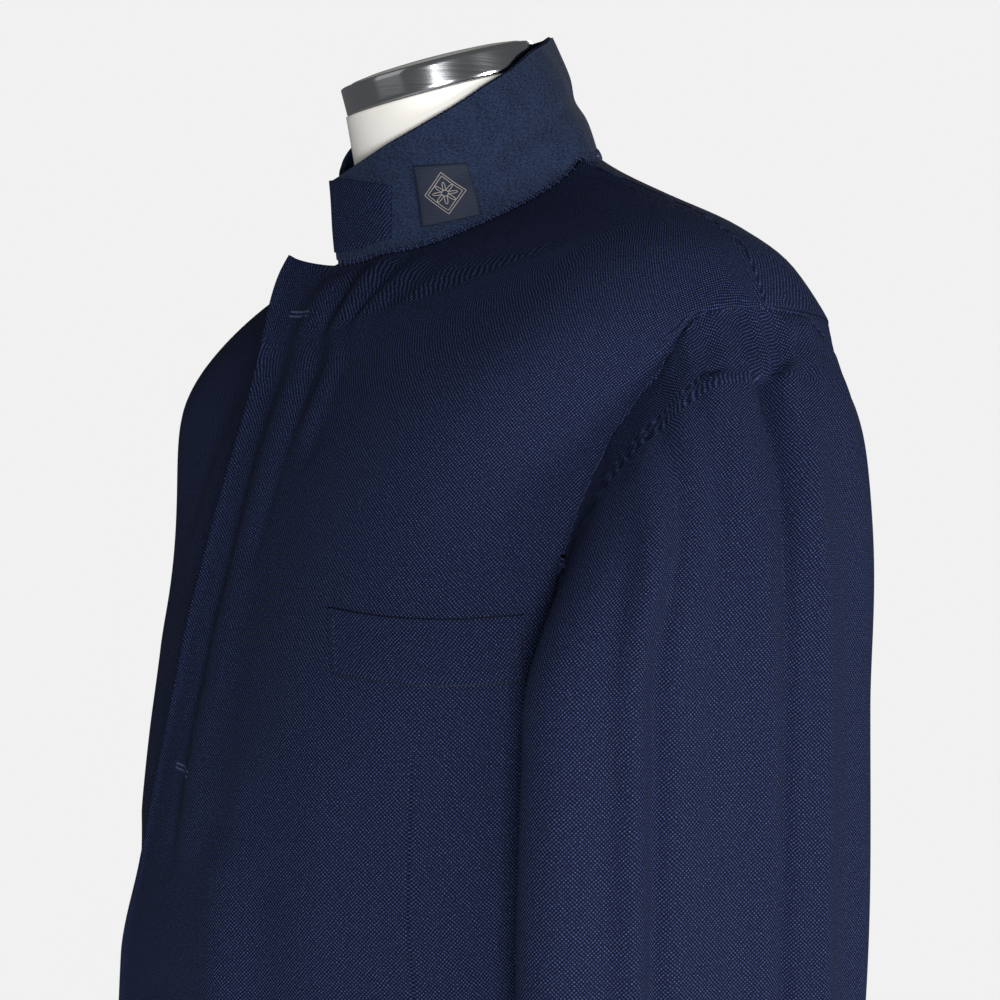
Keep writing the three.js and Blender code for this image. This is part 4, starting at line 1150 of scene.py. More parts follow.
    def side_body(self, side: Side) -> None:
        """A side body, whose upper edge is the bottom of the armhole.

        Args:
            side: which side body.
        """
        down = row_places(0, 1, 430, 110)
        across = spaced(np.array([150.0]), [np.zeros(1), np.ones(1)], [30])[0]
        top = underarm_key(across)
        key = top[None, :] + (HEM_KEY - top[None, :]) * down[:, None]
        share = np.broadcast_to(across[None, :], key.shape)
        start, end = front_end(key), back_start(key)
        start = start + self.angle_step(self.ease, start, key)
        end = end - self.angle_step(self.ease, end, key)
        angle = mix(start, end, share)
        middle, normal = cloth_at(side, angle, key)
        to_edge = np.minimum(share, 1 - share) * 150
        lift = -self.seam_depth * bell(to_edge, 1.4) + self.bead * bell((HEM_KEY - key) - 1.6, 1.8)
        middle = middle + normal * lift[..., None]
        uv = cloth_uv(middle, across.size // 2)
        mesh = mesh_from_grid(f"side_{side.word}_cloth", settle(middle), normal, uv)
        piece = self.room.place(mesh, self.room.wool, "wool", f"side_{side.word}")
        self.room.sheet(piece, CLOTH, self.side_cut, self.side_area, Held.HUNG,
                        [f"front_{side.word}_cloth"])


def underarm_key(share: Array) -> Array:
    """Key of the armhole's bottom, at a share of the way from the front seam to the back seam."""
    return mix(NOTCH_KEY, CHEST_KEY, np.sin(np.pi * np.clip(share, 0, 1)) ** 0.8)


class Line:
    """A line of points in space, read at even shares of its length."""

    def __init__(self, points: Array, normals: Array) -> None:
        """Keeps the points, their normals and each point's share of the length.

        Args:
            points: the line.
            normals: one for each point.
        """
        self.points, self.normals = points, normals
        lengths = np.linalg.norm(np.diff(points, axis=0), axis=-1)
        self.shares = np.concatenate([[0], np.cumsum(lengths)]) / lengths.sum()

    def at(self, share: Array) -> tuple[Array, Array]:
        """Points and unit normals at shares of the length.

        Args:
            share: from 0 at the line's start to 1 at its end.

        Returns:
            Points and normals.
        """
        found = [np.stack([np.interp(share, self.shares, values[:, i]) for i in range(3)], axis=-1)
                 for values in (self.points, self.normals)]
        return found[0], unit(found[1])


@dataclass
class Sleeves:
    """Two-piece sleeves, with gathers where the upper sleeve meets the armhole."""

    room: Workroom
    upper_cut: tuple[float, float] = (0.36, 0.66)
    upper_area: float = 0.19
    under_cut: tuple[float, float] = (0.17, 0.49)
    under_area: float = 0.062
    seam_depth: float = 0.7
    half_round: float = 280.0
    cap_length: float = 190.0
    tuck: float = 1.1  # how far the sleeve's edge runs in under the body's edge
    middle_of_hole: tuple[float, float, float] = (212.0, 5.0, -190.0)
    middle_of_sleeve: tuple[float, float] = (235.0, -15.0)
    ease_passes: int = 260

    def make(self) -> None:
        """Builds the four sleeve pieces."""
        self.armholes = {way: self.armhole(way) for way in (-1, 1)}
        for side in Side:
            self.upper(side)
            self.under(side)

    def armhole(self, way: int) -> Line:
        """Half of the armhole from the shoulder's tip to the armpit.

        Args:
            way: -1 by the front and 1 by the back.

        Returns:
            The line.
        """
        keys = np.linspace(TIP_KEY, NOTCH_KEY, 120)
        down, down_normal = cloth_at(Side.LEFT, front_end(keys) if way < 0 else back_start(keys), keys)
        share = np.linspace(0 if way < 0 else 1, 0.5, 40)[1:]
        under_keys = underarm_key(share)
        angle = mix(front_end(under_keys), back_start(under_keys), share)
        under, under_normal = cloth_at(Side.LEFT, angle, under_keys)
        return Line(np.concatenate([down, under]), np.concatenate([down_normal, under_normal]))

    def ring(self, down: float, way: int, share: Array) -> tuple[Array, Array]:
        """Half of a level superellipse.

        Args:
            down: depth under the neck point.
            way: -1 for the front half and 1 for the back half.
            share: 0 at its outermost point to 1 at the innermost.

        Returns:
            Points and normals.
        """
        turn = np.radians(np.linspace(0, 180, 73))
        sin, cos = np.sin(turn), np.cos(turn)
        reach = (np.abs(sin) ** SLEEVE_SQUARE + np.abs(cos) ** SLEEVE_SQUARE) ** (-1 / SLEEVE_SQUARE)
        width, depth = SLEEVE_RING["half_width"](down), SLEEVE_RING["half_depth"](down)
        points = np.stack([SLEEVE_RING["x"](down) + width * reach * cos,
                           SLEEVE_RING["y"](down) + way * depth * reach * sin, 0 * turn - down], axis=-1)
        normals = unit(np.stack([cos / width, way * sin / depth, 0 * turn], axis=-1))
        return Line(points, normals).at(share)

    def cap(self, way: int, share: Array, level: Array) -> Array:
        """The sleeve above its cap ring: a cubic from the armhole, leaving it outwards, to the ring.

        Args:
            way: -1 for the front half and 1 for the back half.
            share: share of the half round, one for each column.
            level: 0 at the armhole to 1 at the ring, one for each row.

        Returns:
            Rows by columns by three.
        """
        hole_line = self.armholes[way]
        seam, seam_normal = hole_line.at(share)
        along = (hole_line.at(np.minimum(share + SLEEVE_TURN, 1))[0]
                 - hole_line.at(np.maximum(share - SLEEVE_TURN, 0))[0])
        hole = unit(np.cross(seam_normal, along))
        towards = np.array(self.middle_of_hole) - seam
        hole = hole * np.where(np.sum(hole * towards, axis=-1, keepdims=True) < 0, -1, 1)
        ring, ring_normal = self.ring(-CAP_RING, way, share)
        start = seam + hole * (SLEEVE_GAP + HALF_CLOTH + ARMPIT_GAP * share)[:, None]
        armpit = fade((share - 0.55) / 0.45)[:, None]
        out = mix(ring_normal, np.array([1.0, 0, 0]), armpit)
        out[:, 2] = mix(-0.75, -0.15, share)
        out[:, 0] += 0.45 * np.sin(np.pi * share)
        rise = SLEEVE_RISE * fade((share - 0.35) / 0.2) - np.sum(out * seam_normal, axis=-1)
        out = out + seam_normal * np.maximum(0, rise)[:, None]
        out = out + hole * np.maximum(0, SLEEVE_INWARDS - np.sum(out * hole, axis=-1))[:, None]
        reach = np.linalg.norm(ring - start, axis=-1)[:, None]
        out = unit(out) * reach * mix(0.75, 0.9, armpit)
        fall = np.array([0, 0, -1.0]) * reach * 0.95
        s = np.maximum(level, 0)[:, None, None]
        run = (start * (1 - 3 * s**2 + 2 * s**3) + out * (s - 2 * s**2 + s**3)
               + ring * (3 * s**2 - 2 * s**3) + fall * (s**3 - s**2))
        tucked = np.minimum(level, 0)[:, None, None]
        return run + (start - seam + seam_normal * self.tuck) * tucked

    def plain(self, share: Array, level: Array) -> Array:
        """The sleeve without folds: its cap, then rings down to the cuff.

        Args:
            share: signed share of the half round, one for each column.
            level: 0 at the armhole, 1 at the cap ring and 2 at the cuff, one for each row.

        Returns:
            Rows by columns by three.
        """
        halves = []
        for way, picked in ((-1, share < 0), (1, share >= 0)):
            part = np.abs(share[picked])
            upper = self.cap(way, part, level[level < 1])
            lower = [self.ring(mix(-CAP_RING, -CUFF, row - 1), way, part)[0] for row in level[level >= 1]]
            halves.append((picked, np.concatenate([upper, np.stack(lower)])))
        points = np.empty((level.size, share.size, 3))
        for picked, found in halves:
            points[:, picked] = found
        return points

    def eased(self, points: Array, share: Array, level: Array) -> Array:
        """Evens out the ridge where the cap's halves meet, along the rows, below the armhole's seam.

        Each pass moves a point half the way to the middle of its neighbours in the row.

        Args:
            points: the sleeve, rows by columns by three.
            share: signed share of each column.
            level: level of each row.

        Returns:
            The evened sleeve.
        """
        weight = bell(share, 0.3)[None, 1:-1] * fade(np.maximum(level, 0) / 0.12)[:, None]
        eased = points.copy()
        for _ in range(self.ease_passes):
            middle = (eased[:, :-2] + eased[:, 2:]) / 2 - eased[:, 1:-1]
            eased[:, 1:-1] += 0.5 * weight[..., None] * middle
        return eased

    def folds(self, points: Array, normal: Array) -> Array:
        """Height of the long folds on the sleeve's outer side, each a bell across its line.

        Args:
            points: the plain sleeve.
            normal: its normals.

        Returns:
            Millimetres along the normal.
        """
        z = points[..., 2]
        height = np.zeros(z.shape)
        for row in zip(*SLEEVE_FOLDS.values()):
            y_top, y_mid, y_low, width, tall, z_top, z_low = row
            upper = mix(y_top, y_mid, fade((-100 - z) / (-100 - SLEEVE_FOLD_MID)))
            line = mix(upper, y_low, fade((SLEEVE_FOLD_MID - z) / (SLEEVE_FOLD_MID - SLEEVE_FOLD_LOW)))
            ends = fade((z_top - z) / 40) * fade((z - z_low) / 90)
            height += tall * ends * bell(points[..., 1] - line, width)
        return height * np.maximum(normal[..., 0], 0)

    def gathers(self, share: Array, level: Array) -> Array:
        """Height of the short gathers at the sleeve head, fading with distance from the seam.

        Args:
            share: signed share of each column.
            level: level of each row.

        Returns:
            Millimetres along the normal.
        """
        below = np.maximum(level, 0)[:, None] * self.cap_length
        height = np.zeros((level.size, share.size))
        for place, width, tall, long in zip(*HEAD_GATHERS.values()):
            spread = width * (1 + below / 60)
            line = place * (1 + 0.10 * below / 60)
            height += tall * bell(share[None, :] - line, spread) * np.exp(-below / long) * fade(below / 2.5)
        return height

    def levels(self) -> Array:
        """Rows of a sleeve: close together at the armhole and the cuff, even between them."""
        steps = EDGE_STEPS / self.cap_length
        cap = np.concatenate([[-1, -0.5, 0], steps, np.linspace(steps[-1], 1, 62)[1:-1]])
        arm = np.linspace(1, 2, 90)
        return np.concatenate([cap, arm[:-1], [2 - 0.008, 2 - 0.004, 2 - 0.0015, 2]])

    def sheet_of(self, side: Side, name: str, turn: Array, cut: tuple[float, float], area: float) -> None:
        """One sleeve piece.

        Args:
            side: whose sleeve.
            name: upper or under.
            turn: share of the half round at each column; past 1 it comes back along the other half.
            cut: metres, its flat width and length.
            area: square metres, its flat area.
        """
        level = self.levels()
        share = np.where(turn > 1, 2 - turn, np.where(name == "under", -turn, turn))
        points = self.eased(self.plain(share, level), share, level)
        outward = (points - (*self.middle_of_sleeve, 0.0)) * (1, 1, 0)
        normal = grid_normals(points, outward)
        to_edge = np.minimum(turn - turn[0], turn[-1] - turn)[None, :] * self.half_round
        lift = self.folds(points, normal) - self.seam_depth * bell(to_edge, 1.4)
        lift = lift + 0.45 * bell((2 - level[:, None]) * 410 - 1.6, 1.8)
        if name == "upper":
            lift = lift + self.gathers(share, level)
        lift = lift - 0.5 * bell(level[:, None] * self.cap_length, 1.2)
        points = points + normal * lift[..., None]
        flip = np.array([side.value, 1, 1])
        uv = cloth_uv(points, turn.size // 2)
        mesh = mesh_from_grid(f"sleeve_{name}_{side.word}_cloth", settle(points * flip), normal * flip, uv)
        node = f"sleeve_{name}_{side.word}"
        piece = self.room.place(mesh, self.room.wool, "wool", node)
        self.room.sheet(piece, CLOTH, cut, area, Held.HUNG, [f"front_{side.word}_cloth"])

    def upper(self, side: Side) -> None:
        """The upper sleeve, which shows."""
        low, high = -FRONT_SEAM_SHARE + SLEEVE_EASE, BACK_SEAM_SHARE - SLEEVE_EASE
        turn = row_places(low, high, (high - low) * self.half_round, 150)
        self.sheet_of(side, "upper", turn, self.upper_cut, self.upper_area)

    def under(self, side: Side) -> None:
        """The under sleeve, along the inside of the arm."""
        low, high = FRONT_SEAM_SHARE + SLEEVE_EASE, 2 - BACK_SEAM_SHARE - SLEEVE_EASE
        turn = row_places(low, high, (high - low) * self.half_round, 50)
        self.sheet_of(side, "under", turn, self.under_cut, self.under_area)


@dataclass
class Collar:
    """The collar, standing up, so its felt underside shows with what is sewn to it."""

    room: Workroom
    cut: tuple[float, float] = (0.47, 0.09)
    cut_area: float = 0.036
    felt_cut: tuple[float, float] = (0.47, 0.088)
    felt_area: float = 0.034
    end_cut: tuple[float, float] = (0.06, 0.05)
    end_area: float = 0.0016
    label_cut: tuple[float, float] = (0.032, 0.042)
    label_area: float = 0.0013
    label_gap: float = PATCH_GAP * 0.6
    right_drop: float = 12.0  # how far the right end sags behind the left one

    def point(self, side: Side, angle: Array, share: Array) -> Array:
        """A place on the collar: a straight line from its foot, by the neck seam, to its top edge.

        Args:
            side: which side of the collar.
            angle: degrees round the neck from the centre front.
            share: share of the collar's height.

        Returns:
            Points in millimetres.
        """
        seam = cloth_at(side, angle, np.full(np.shape(angle), NECK_KEY))[0]
        below = cloth_at(side, angle, np.full(np.shape(angle), NECK_KEY + 0.5))[0]
        inwards = unit(seam - below)
        top = np.stack([side.value * COLLAR_EDGE["x"](angle), COLLAR_EDGE["y"](angle),
                        COLLAR_EDGE["z"](angle)], axis=-1)
        if side is Side.RIGHT:
            top[..., 1] += RIGHT_TUCK * (1 - fade((angle - COLLAR_RIGHT_END) / 50))
            top[..., 2] -= self.right_drop * (1 - fade((angle - COLLAR_RIGHT_END) / 60))
        rise = unit(top - seam)
        turn = np.sqrt(np.maximum(0, 1 - np.sum(rise * inwards, axis=-1) ** 2))
        foot = seam + inwards * (COLLAR_SEAM_GAP + turn)[..., None]
        return mix(foot, top, share[..., None])

    def both(self, turn: Array, share: Array) -> Array:
        """The collar's straight lines all the way round, turn running from the right end to the left.

        Args:
            turn: degrees from the centre back.
            share: share of the collar's height.

        Returns:
            Points in millimetres.
        """
        right = self.point(Side.RIGHT, 180 + np.minimum(turn, 0), share)
        left = self.point(Side.LEFT, 180 - np.maximum(turn, 0), share)
        return np.where((turn < 0)[..., None], right, left)

    def at(self, turn: Array, share: Array) -> tuple[Array, Array]:
        """Points and normals, with the collar's crease and the bulge of its fall behind the neck.

        Args:
            turn: degrees round the neck, 0 at the centre back, positive to the wearer's left.
            share: share of the collar's height.

        Returns:
            Points and outward normals in millimetres.
        """
        turn, share = np.broadcast_arrays(np.asarray(turn, float), np.asarray(share, float))
        across = self.both(turn + 0.5, share) - self.both(turn - 0.5, share)
        up = self.both(turn, np.ones(share.shape)) - self.both(turn, np.zeros(share.shape))
        normal = unit(np.cross(up, across))
        nape = fade((180 - np.abs(turn) - 20) / 60)
        crease = -COLLAR_CREASE_DEPTH * nape * bell(share - COLLAR_CREASE_AT, 0.12)
        bulge = COLLAR_BULGE * nape * np.sin(np.pi * share)
        middle = self.both(turn, share) + normal * (crease + bulge)[..., None]
        return middle, normal

    def height(self, turn: Array) -> Array:
        """The collar's height at a turn, in millimetres."""
        return np.linalg.norm(self.at(turn, 1.0)[0] - self.at(turn, 0.0)[0], axis=-1)

    def waves(self, turn: Array, share: Array) -> Array:
        """Soft unevenness of the pressed felt: three slow sines that never line up."""
        return (0.22 * np.sin(turn / 5.3 + 2.1 * share) + 0.16 * np.sin(turn / 2.9 - 3.7 * share + 1)
                + 0.10 * np.sin(turn / 1.7 + 6.3 * share + 2))

    def make(self) -> None:
        """Builds the collar's cloth, its felt, what is laid on the felt, and the stitches."""
        turns = row_places(COLLAR_RIGHT_END - 180, 180 - COLLAR_LEFT_END, 430, 240)
        shares = row_places(0, 1, 80, 40)
        turn, share = np.meshgrid(turns, shares)
        middle, normal = self.at(turn, share)
        mesh = mesh_from_grid("collar_cloth", settle(middle), normal, cloth_uv(middle, turns.size // 2))
        cloth = self.room.place(mesh, self.room.wool, "wool", "collar_top")
        self.room.sheet(cloth, CLOTH, self.cut, self.cut_area, Held.HUNG,
                        ["front_left_cloth", "back_left_cloth"])
        low = FELT_START / self.height(turn)
        place = mix(low, FELT_END, share)
        middle, normal = self.at(turn, place)
        tilt = 0.2 * bell(share, 0.08)
        lift = HALF_CLOTH + PATCH_GAP + FELT / 2 + self.waves(turn, share) * 0.6 - tilt
        middle = middle + normal * lift[..., None]
        mesh = mesh_from_grid("undercollar", settle(middle), normal, cloth_uv(middle, turns.size // 2))
        felt = self.room.place(mesh, self.room.felt, "felt", "collar_felt")
        self.room.sheet(felt, FELT, self.felt_cut, self.felt_area, Held.LAID, ["collar_cloth"])
        self.turned_end(Side.LEFT, (-8.7, -8.7, 0.13, 0.99), (24.5, 27.5, 0.13, 0.6))
        self.turned_end(Side.RIGHT, (5.3, 5.3, 0.13, 0.99), (38.0, 41.0, 0.13, 0.6))
        self.label((37.0, 37.0, 0.16, 0.7), (58.0, 58.0, 0.07, 0.52))
        self.seam_stitches()
        self.edge_stitches()

    def on_felt(self, side: Side, first: tuple[float, ...], last: tuple[float, ...], up: Array,
                along: Array, raised: float) -> tuple[Array, Array]:
        """Places on the felt inside a four-cornered patch.

        Args:
            side: which side of the collar.
            first: angle at the lower and at the upper edge, low and high share, at the patch's start.
            last: the same at its end.
            up: 0 at the lower to 1 at the upper edge.
            along: 0 at the start to 1 at the end.
            raised: millimetres above the felt.

        Returns:
            Points and normals.
        """
        angle = mix(mix(first[0], first[1], up), mix(last[0], last[1], up), along)
        share = mix(mix(first[2], first[3], up), mix(last[2], last[3], up), along)
        middle, normal = self.at(side.value * (180 - angle), share)
        return middle + normal * (HALF_CLOTH + PATCH_GAP + FELT + raised), normal

    def turned_end(self, side: Side, first: tuple[float, ...], last: tuple[float, ...]) -> None:
        """The cloth turned over one end of the collar and tacked down on the felt.

        Args:
            side: which end.
            first: its corners at the collar's end, as on_felt takes them.
            last: its corners at the cloth's inner edge.
        """
        up, along = np.meshgrid(row_places(0, 1, 40, 14), row_places(0, 1, 40, 16), indexing="ij")
        edge = np.minimum(np.minimum(up, 1 - up), np.minimum(along, 1 - along)) * 38
        raised = PATCH_GAP + TURNED_END / 2 - 0.45 * bell(edge, 1.4) + 0.25 * np.sin(6 * up + 4 * along)
        middle, normal = self.on_felt(side, first, last, up, along, 0.0)
        middle = middle + normal * raised[..., None]
        mesh = mesh_from_grid(f"collar_end_{side.word}_cloth", settle(middle), normal, cloth_uv(middle, 0))
        piece = self.room.place(mesh, self.room.wool, "wool", f"collar_end_{side.word}")
        self.room.sheet(piece, TURNED_END, self.end_cut, self.end_area, Held.FOLDED, ["undercollar"])

    def label(self, first: tuple[float, ...], last: tuple[float, ...]) -> None:
        """The label, with a plain rosette in a lozenge as its motif and small stitches round it.

        Args:
            first: its corners nearer the collar's end, as on_felt takes them.
            last: its corners further back.
        """
        up, along = np.meshgrid(np.linspace(0, 1, 24), np.linspace(0, 1, 20), indexing="ij")
        edge = np.minimum(np.minimum(up, 1 - up), np.minimum(along, 1 - along)) * 34
        raised = self.label_gap + LABEL_THICK / 2 - 0.2 * bell(edge, 1.2)
        raised = raised + 0.12 * np.sin(5 * up - 3 * along)
        middle, normal = self.on_felt(Side.LEFT, first, last, up, along, 0.0)
        middle = middle + normal * raised[..., None]
        mesh = mesh_from_grid("label_patch", settle(middle), normal, cloth_uv(middle, 0))
        piece = self.room.place(mesh, self.room.label, "label", "collar_label")
        self.room.sheet(piece, LABEL_THICK, self.label_cut, self.label_area, Held.LAID, ["undercollar"])
        self.motif(first, last)
        self.label_stitches(first, last)

    def motif(self, first: tuple[float, ...], last: tuple[float, ...]) -> None:
        """An eight-petalled rosette, whose radius goes with a cosine, inside two lozenges.

        Args:
            first: the label's corners nearer the collar's end.
            last: its corners further back.
        """
        turn = np.linspace(0, 2 * np.pi, 97)
        petals = 0.19 * (0.62 + 0.38 * np.cos(8 * turn))
        rings = [
            (0.5 + petals * np.cos(turn) * 1.15, 0.5 + petals * np.sin(turn)),
            (0.5 + 0.06 * np.cos(turn), 0.5 + 0.05 * np.sin(turn)),
            self.lozenge(0.36, 0.36), self.lozenge(0.30, 0.30),
        ]
        paths, outs = [], []
        for across, high in rings:
            points, normals = self.on_felt(Side.LEFT, first, last, high, across,
                                           self.label_gap + LABEL_THICK + 0.1)
            paths.append(settle(points))
            outs.append(normals)
        mesh = mesh_from_tubes("label_motif", np.stack(paths), np.stack(outs), np.full(97, 0.27 * MM))
        self.room.place(mesh, self.room.grey_thread, "label")

    def label_stitches(self, first: tuple[float, ...], last: tuple[float, ...]) -> None:
        """Stitches over all four edges of the label, each an arch down to the felt.

        Args:
            first: the label's corners nearer the collar's end.
            last: its corners further back.
        """
        low_edge, high_edge = np.full(17, 0.04), np.full(17, 0.96)
        upright, level = np.linspace(0.05, 0.95, 17), np.linspace(0.06, 0.94, 17)
        across = np.concatenate([low_edge, high_edge, level, level])
        high = np.concatenate([upright, upright, low_edge, high_edge])
        from_middle = np.stack([across - 0.5, high - 0.5])
        outwards = np.sign(from_middle) * (np.abs(from_middle) > 0.455)
        stitch = np.linspace(-0.03, 0.05, 5)[None, :]
        high = high[:, None] + outwards[1][:, None] * stitch
        across = across[:, None] + outwards[0][:, None] * stitch
        points, normals = self.on_felt(Side.LEFT, first, last, high, across, 0.0)
        arch = 0.55 + 0.25 * np.sin(np.linspace(0, np.pi, 5)) - 0.5 * np.linspace(0, 1, 5)
        points = points + normals * arch[None, :, None]
        radius = np.array([0.1, 0.16, 0.17, 0.16, 0.1]) * MM
        mesh = mesh_from_tubes("label_stitches", settle(points), normals, radius)
        self.room.place(mesh, self.room.navy_thread, "label")

    def lozenge(self, across: float, high: float) -> tuple[Array, Array]:
        """A lozenge's outline with 96 steps, as places on the label.

        Args:
            across: half its width, as a share of the label's.
            high: half its height, as a share of the label's.

        Returns:
            Places across and up the label.
        """
        turn = np.linspace(0, 4, 97)
        x = np.interp(turn, [0, 1, 2, 3, 4], [across, 0, -across, 0, across])
        y = np.interp(turn, [0, 1, 2, 3, 4], [0, high, 0, -high, 0])
        return 0.5 + x, 0.5 + y

    def seam_stitches(self) -> None:
        """Whip stitches along the felt's lower edge, from the felt down to the cloth below the seam."""
        count = 128
        turns = np.linspace(COLLAR_RIGHT_END - 176, 176 - COLLAR_LEFT_END, count)
        turns = turns + 0.25 * np.sin(np.arange(count) * 1.9)
        low = FELT_START / self.height(turns)
        reach = 2.0 + 0.3 * np.sin(np.arange(count) * 2.7)
        top, top_normal = self.at(turns + 0.35, low + reach / self.height(turns))
        top = top + top_normal * (HALF_CLOTH + PATCH_GAP + FELT + 0.05)
        key = np.full(count, NECK_KEY + 1.5)
        feet = [cloth_at(side, 180 - np.abs(turns - 0.35), key) for side in Side]
        pick = (turns >= 0)[:, None]
        foot = np.where(pick, *(point + normal * (HALF_CLOTH + 0.05) for point, normal in feet))
        normal = unit(np.where(pick, feet[0][1], feet[1][1]) + top_normal)
        t = np.linspace(0, 1, 7)
        paths = mix(top[:, None], foot[:, None], t[None, :, None])
        arch = 0.55 * np.sin(np.pi * t) - 0.15 * (np.abs(t - 0.5) > 0.45)
        paths = paths + normal[:, None] * arch[None, :, None]
        radius = np.array([0.12, 0.2, 0.24, 0.25, 0.24, 0.2, 0.12]) * MM
        outs = np.broadcast_to(normal[:, None], paths.shape)
        mesh = mesh_from_tubes("undercollar_seam_stitches", settle(paths), outs, radius)
        self.room.place(mesh, self.room.navy_thread, "felt")

    def edge_stitches(self) -> None:
        """Tiny stitches along the felt's upper edge."""
        count = 150
        turns = np.linspace(COLLAR_RIGHT_END - 170, 170 - COLLAR_LEFT_END, count)
        t = np.linspace(0, 1, 5)
        share = 1 - (2.6 * (1 - t[None, :]) + 0.7 * t[None, :]) / self.height(turns)[:, None]
        points, normals = self.at(turns[:, None] + 0.3 * t[None, :], share)
        lift = mix(HALF_CLOTH + PATCH_GAP + FELT, HALF_CLOTH + 0.1, t**2) + 0.3 * np.sin(np.pi * t)
        points = points + normals * lift[None, :, None]
        mesh = mesh_from_tubes("undercollar_edge_stitches", settle(points), normals,
                               np.array([0.08, 0.15, 0.16, 0.15, 0.08]) * MM, 5)
        self.room.place(mesh, self.room.navy_thread, "felt")


@dataclass
class Pockets:
    """The breast welt and the two hip flaps, laid on the fronts."""

    room: Workroom
    welt_angles: tuple[float, float, float] = (33.0, 67.0, 3.6)
    welt_top: tuple[float, float] = (-258.0, -260.0)
    welt_sag: float = 3.5
    welt_depth: float = 33.0
    welt_thick: float = 1.4
    welt_cut: tuple[float, float] = (0.11, 0.034)
    welt_area: float = 0.0036
    flap_angles: tuple[float, float] = (34.0, 66.0)
    flap_keys: tuple[float, float] = (520.0, 572.0)
    flap_thick: float = 1.8
    flap_radius: float = 14.0
    flap_length: float = 0.054  # metres, the cut's length
    flap_share: float = 0.98  # what the rounded corners leave of the cut

    def make(self) -> None:
        """Builds the welt and both flaps."""
        self.welt()
        for side in Side:
            self.flap(side)

    def on_welt(self, down: Array, along: Array) -> tuple[Array, Array]:
        """A place of the left front under the welt, whose edges sag between their ends.

        Args:
            down: 0 at the welt's top to 1 at its foot.
            along: 0 at its front end to 1 at its rear end.

        Returns:
            Points and normals.
        """
        down, along = np.broadcast_arrays(down, along)
        angle = mix(self.welt_angles[0], self.welt_angles[1], along) + down * self.welt_angles[2]
        z = mix(*self.welt_top, along) - self.welt_sag * np.sin(np.pi * along) - down * self.welt_depth
        key = solve(lambda k: -body_point(angle, k)[..., 2], -z, NECK_KEY, HEM_KEY)
        return cloth_at(Side.LEFT, angle, key)

    def welt(self) -> None:
        """The welt: open along its top, sewn down at its ends and along its foot."""
        down, along = np.meshgrid(row_places(0, 1, 33, 14), row_places(0, 1, 105, 44), indexing="ij")
        middle, normal = self.on_welt(down, along)
        ends = np.minimum(along, 1 - along) * 105
        foot = (1 - down) * 33
        raised = HALF_CLOTH + PATCH_GAP + self.welt_thick / 2
        lift = raised - 0.45 * bell(ends, 1.3) - 0.5 * bell(foot, 1.3) + 0.3 * bell(down * 33 - 1.6, 2.2)
        middle = middle + normal * lift[..., None]
        mesh = mesh_from_grid("breast_welt_cloth", settle(middle), normal, cloth_uv(middle, 0))
        piece = self.room.place(mesh, self.room.wool, "wool", "breast_welt")
        self.room.sheet(piece, self.welt_thick, self.welt_cut, self.welt_area, Held.LAID,
                        ["front_left_cloth"])
        self.pick_stitches()
        self.welt_seam_and_shade()

    def welt_seam_and_shade(self) -> None:
        """The seam round the welt's foot and ends as near-black lines, and a painted shadow under its open
        top edge.
        """
        t = np.linspace(0, 1, 60)
        # foot, rear end and front end, then the painted shadow along the open top edge
        lines = [(1.012 + 0 * t, t, 0.32), (t * 1.012, 1.004 + 0 * t, 0.3),
                 (t * 1.012, -0.004 + 0 * t, 0.12), (-0.014 + 0 * t, t, 0.26)]
        for number, (down, along, radius) in enumerate(lines):
            points, normals = self.on_welt(down, along)
            points = points + normals * (HALF_CLOTH + 0.55)
            mesh = mesh_from_tubes(f"welt_seam_{number + 1}", settle(points)[None], normals[None],
                                   np.full(60, radius * MM))
            self.room.place(mesh, self.room.seam_and_shade_thread, "wool")

    def pick_stitches(self) -> None:
        """Pick stitches down the inside of each end of the welt."""
        count = 9
        high = np.tile(np.linspace(0.06, 0.94, count), 2)
        across = np.concatenate([np.full(count, 0.035), np.full(count, 0.955)])
        t = np.linspace(-0.5, 0.5, 5)
        points, normals = self.on_welt(high[:, None] + 0.045 * t[None, :], across[:, None] + 0 * t[None, :])
        lift = HALF_CLOTH + PATCH_GAP + self.welt_thick + 0.12 * np.cos(np.pi * t)
        points = points + normals * lift[None, :, None]
        radius = np.array([0.1, 0.2, 0.22, 0.2, 0.1]) * MM
        mesh = mesh_from_tubes("welt_stitches", settle(points), normals, radius)
        self.room.place(mesh, self.room.navy_thread, "wool")

    def flap(self, side: Side) -> None:
        """A hip flap with its two lower corners rounded.

        Args:
            side: which flap.
        """
        width = float(np.linalg.norm(body_point(self.flap_angles[0], self.flap_keys[0])
                                     - body_point(self.flap_angles[1], self.flap_keys[0])))
        down, along = np.meshgrid(row_places(0, 1, 52, 18), row_places(0, 1, width, 40), indexing="ij")
        corner = np.maximum(0, self.flap_radius - np.minimum(along, 1 - along) * width)
        rise = self.flap_radius - np.sqrt(self.flap_radius**2 - corner**2)
        key = mix(self.flap_keys[0], self.flap_keys[1] - rise, down)
        middle, normal = cloth_at(side, mix(*self.flap_angles, along), key)
        lift = HALF_CLOTH + PATCH_GAP + self.flap_thick / 2 - 0.5 * bell(down * 52, 1.4)
        middle = middle + normal * lift[..., None]
        mesh = mesh_from_grid(f"hip_flap_{side.word}_cloth", settle(middle), normal, cloth_uv(middle, 0))
        piece = self.room.place(mesh, self.room.wool, "wool", f"hip_flap_{side.word}")
        area = self.flap_share * width * MM * self.flap_length
        self.room.sheet(piece, self.flap_thick, (width * MM, self.flap_length), area, Held.HUNG,
                        [f"front_{side.word}_cloth"])


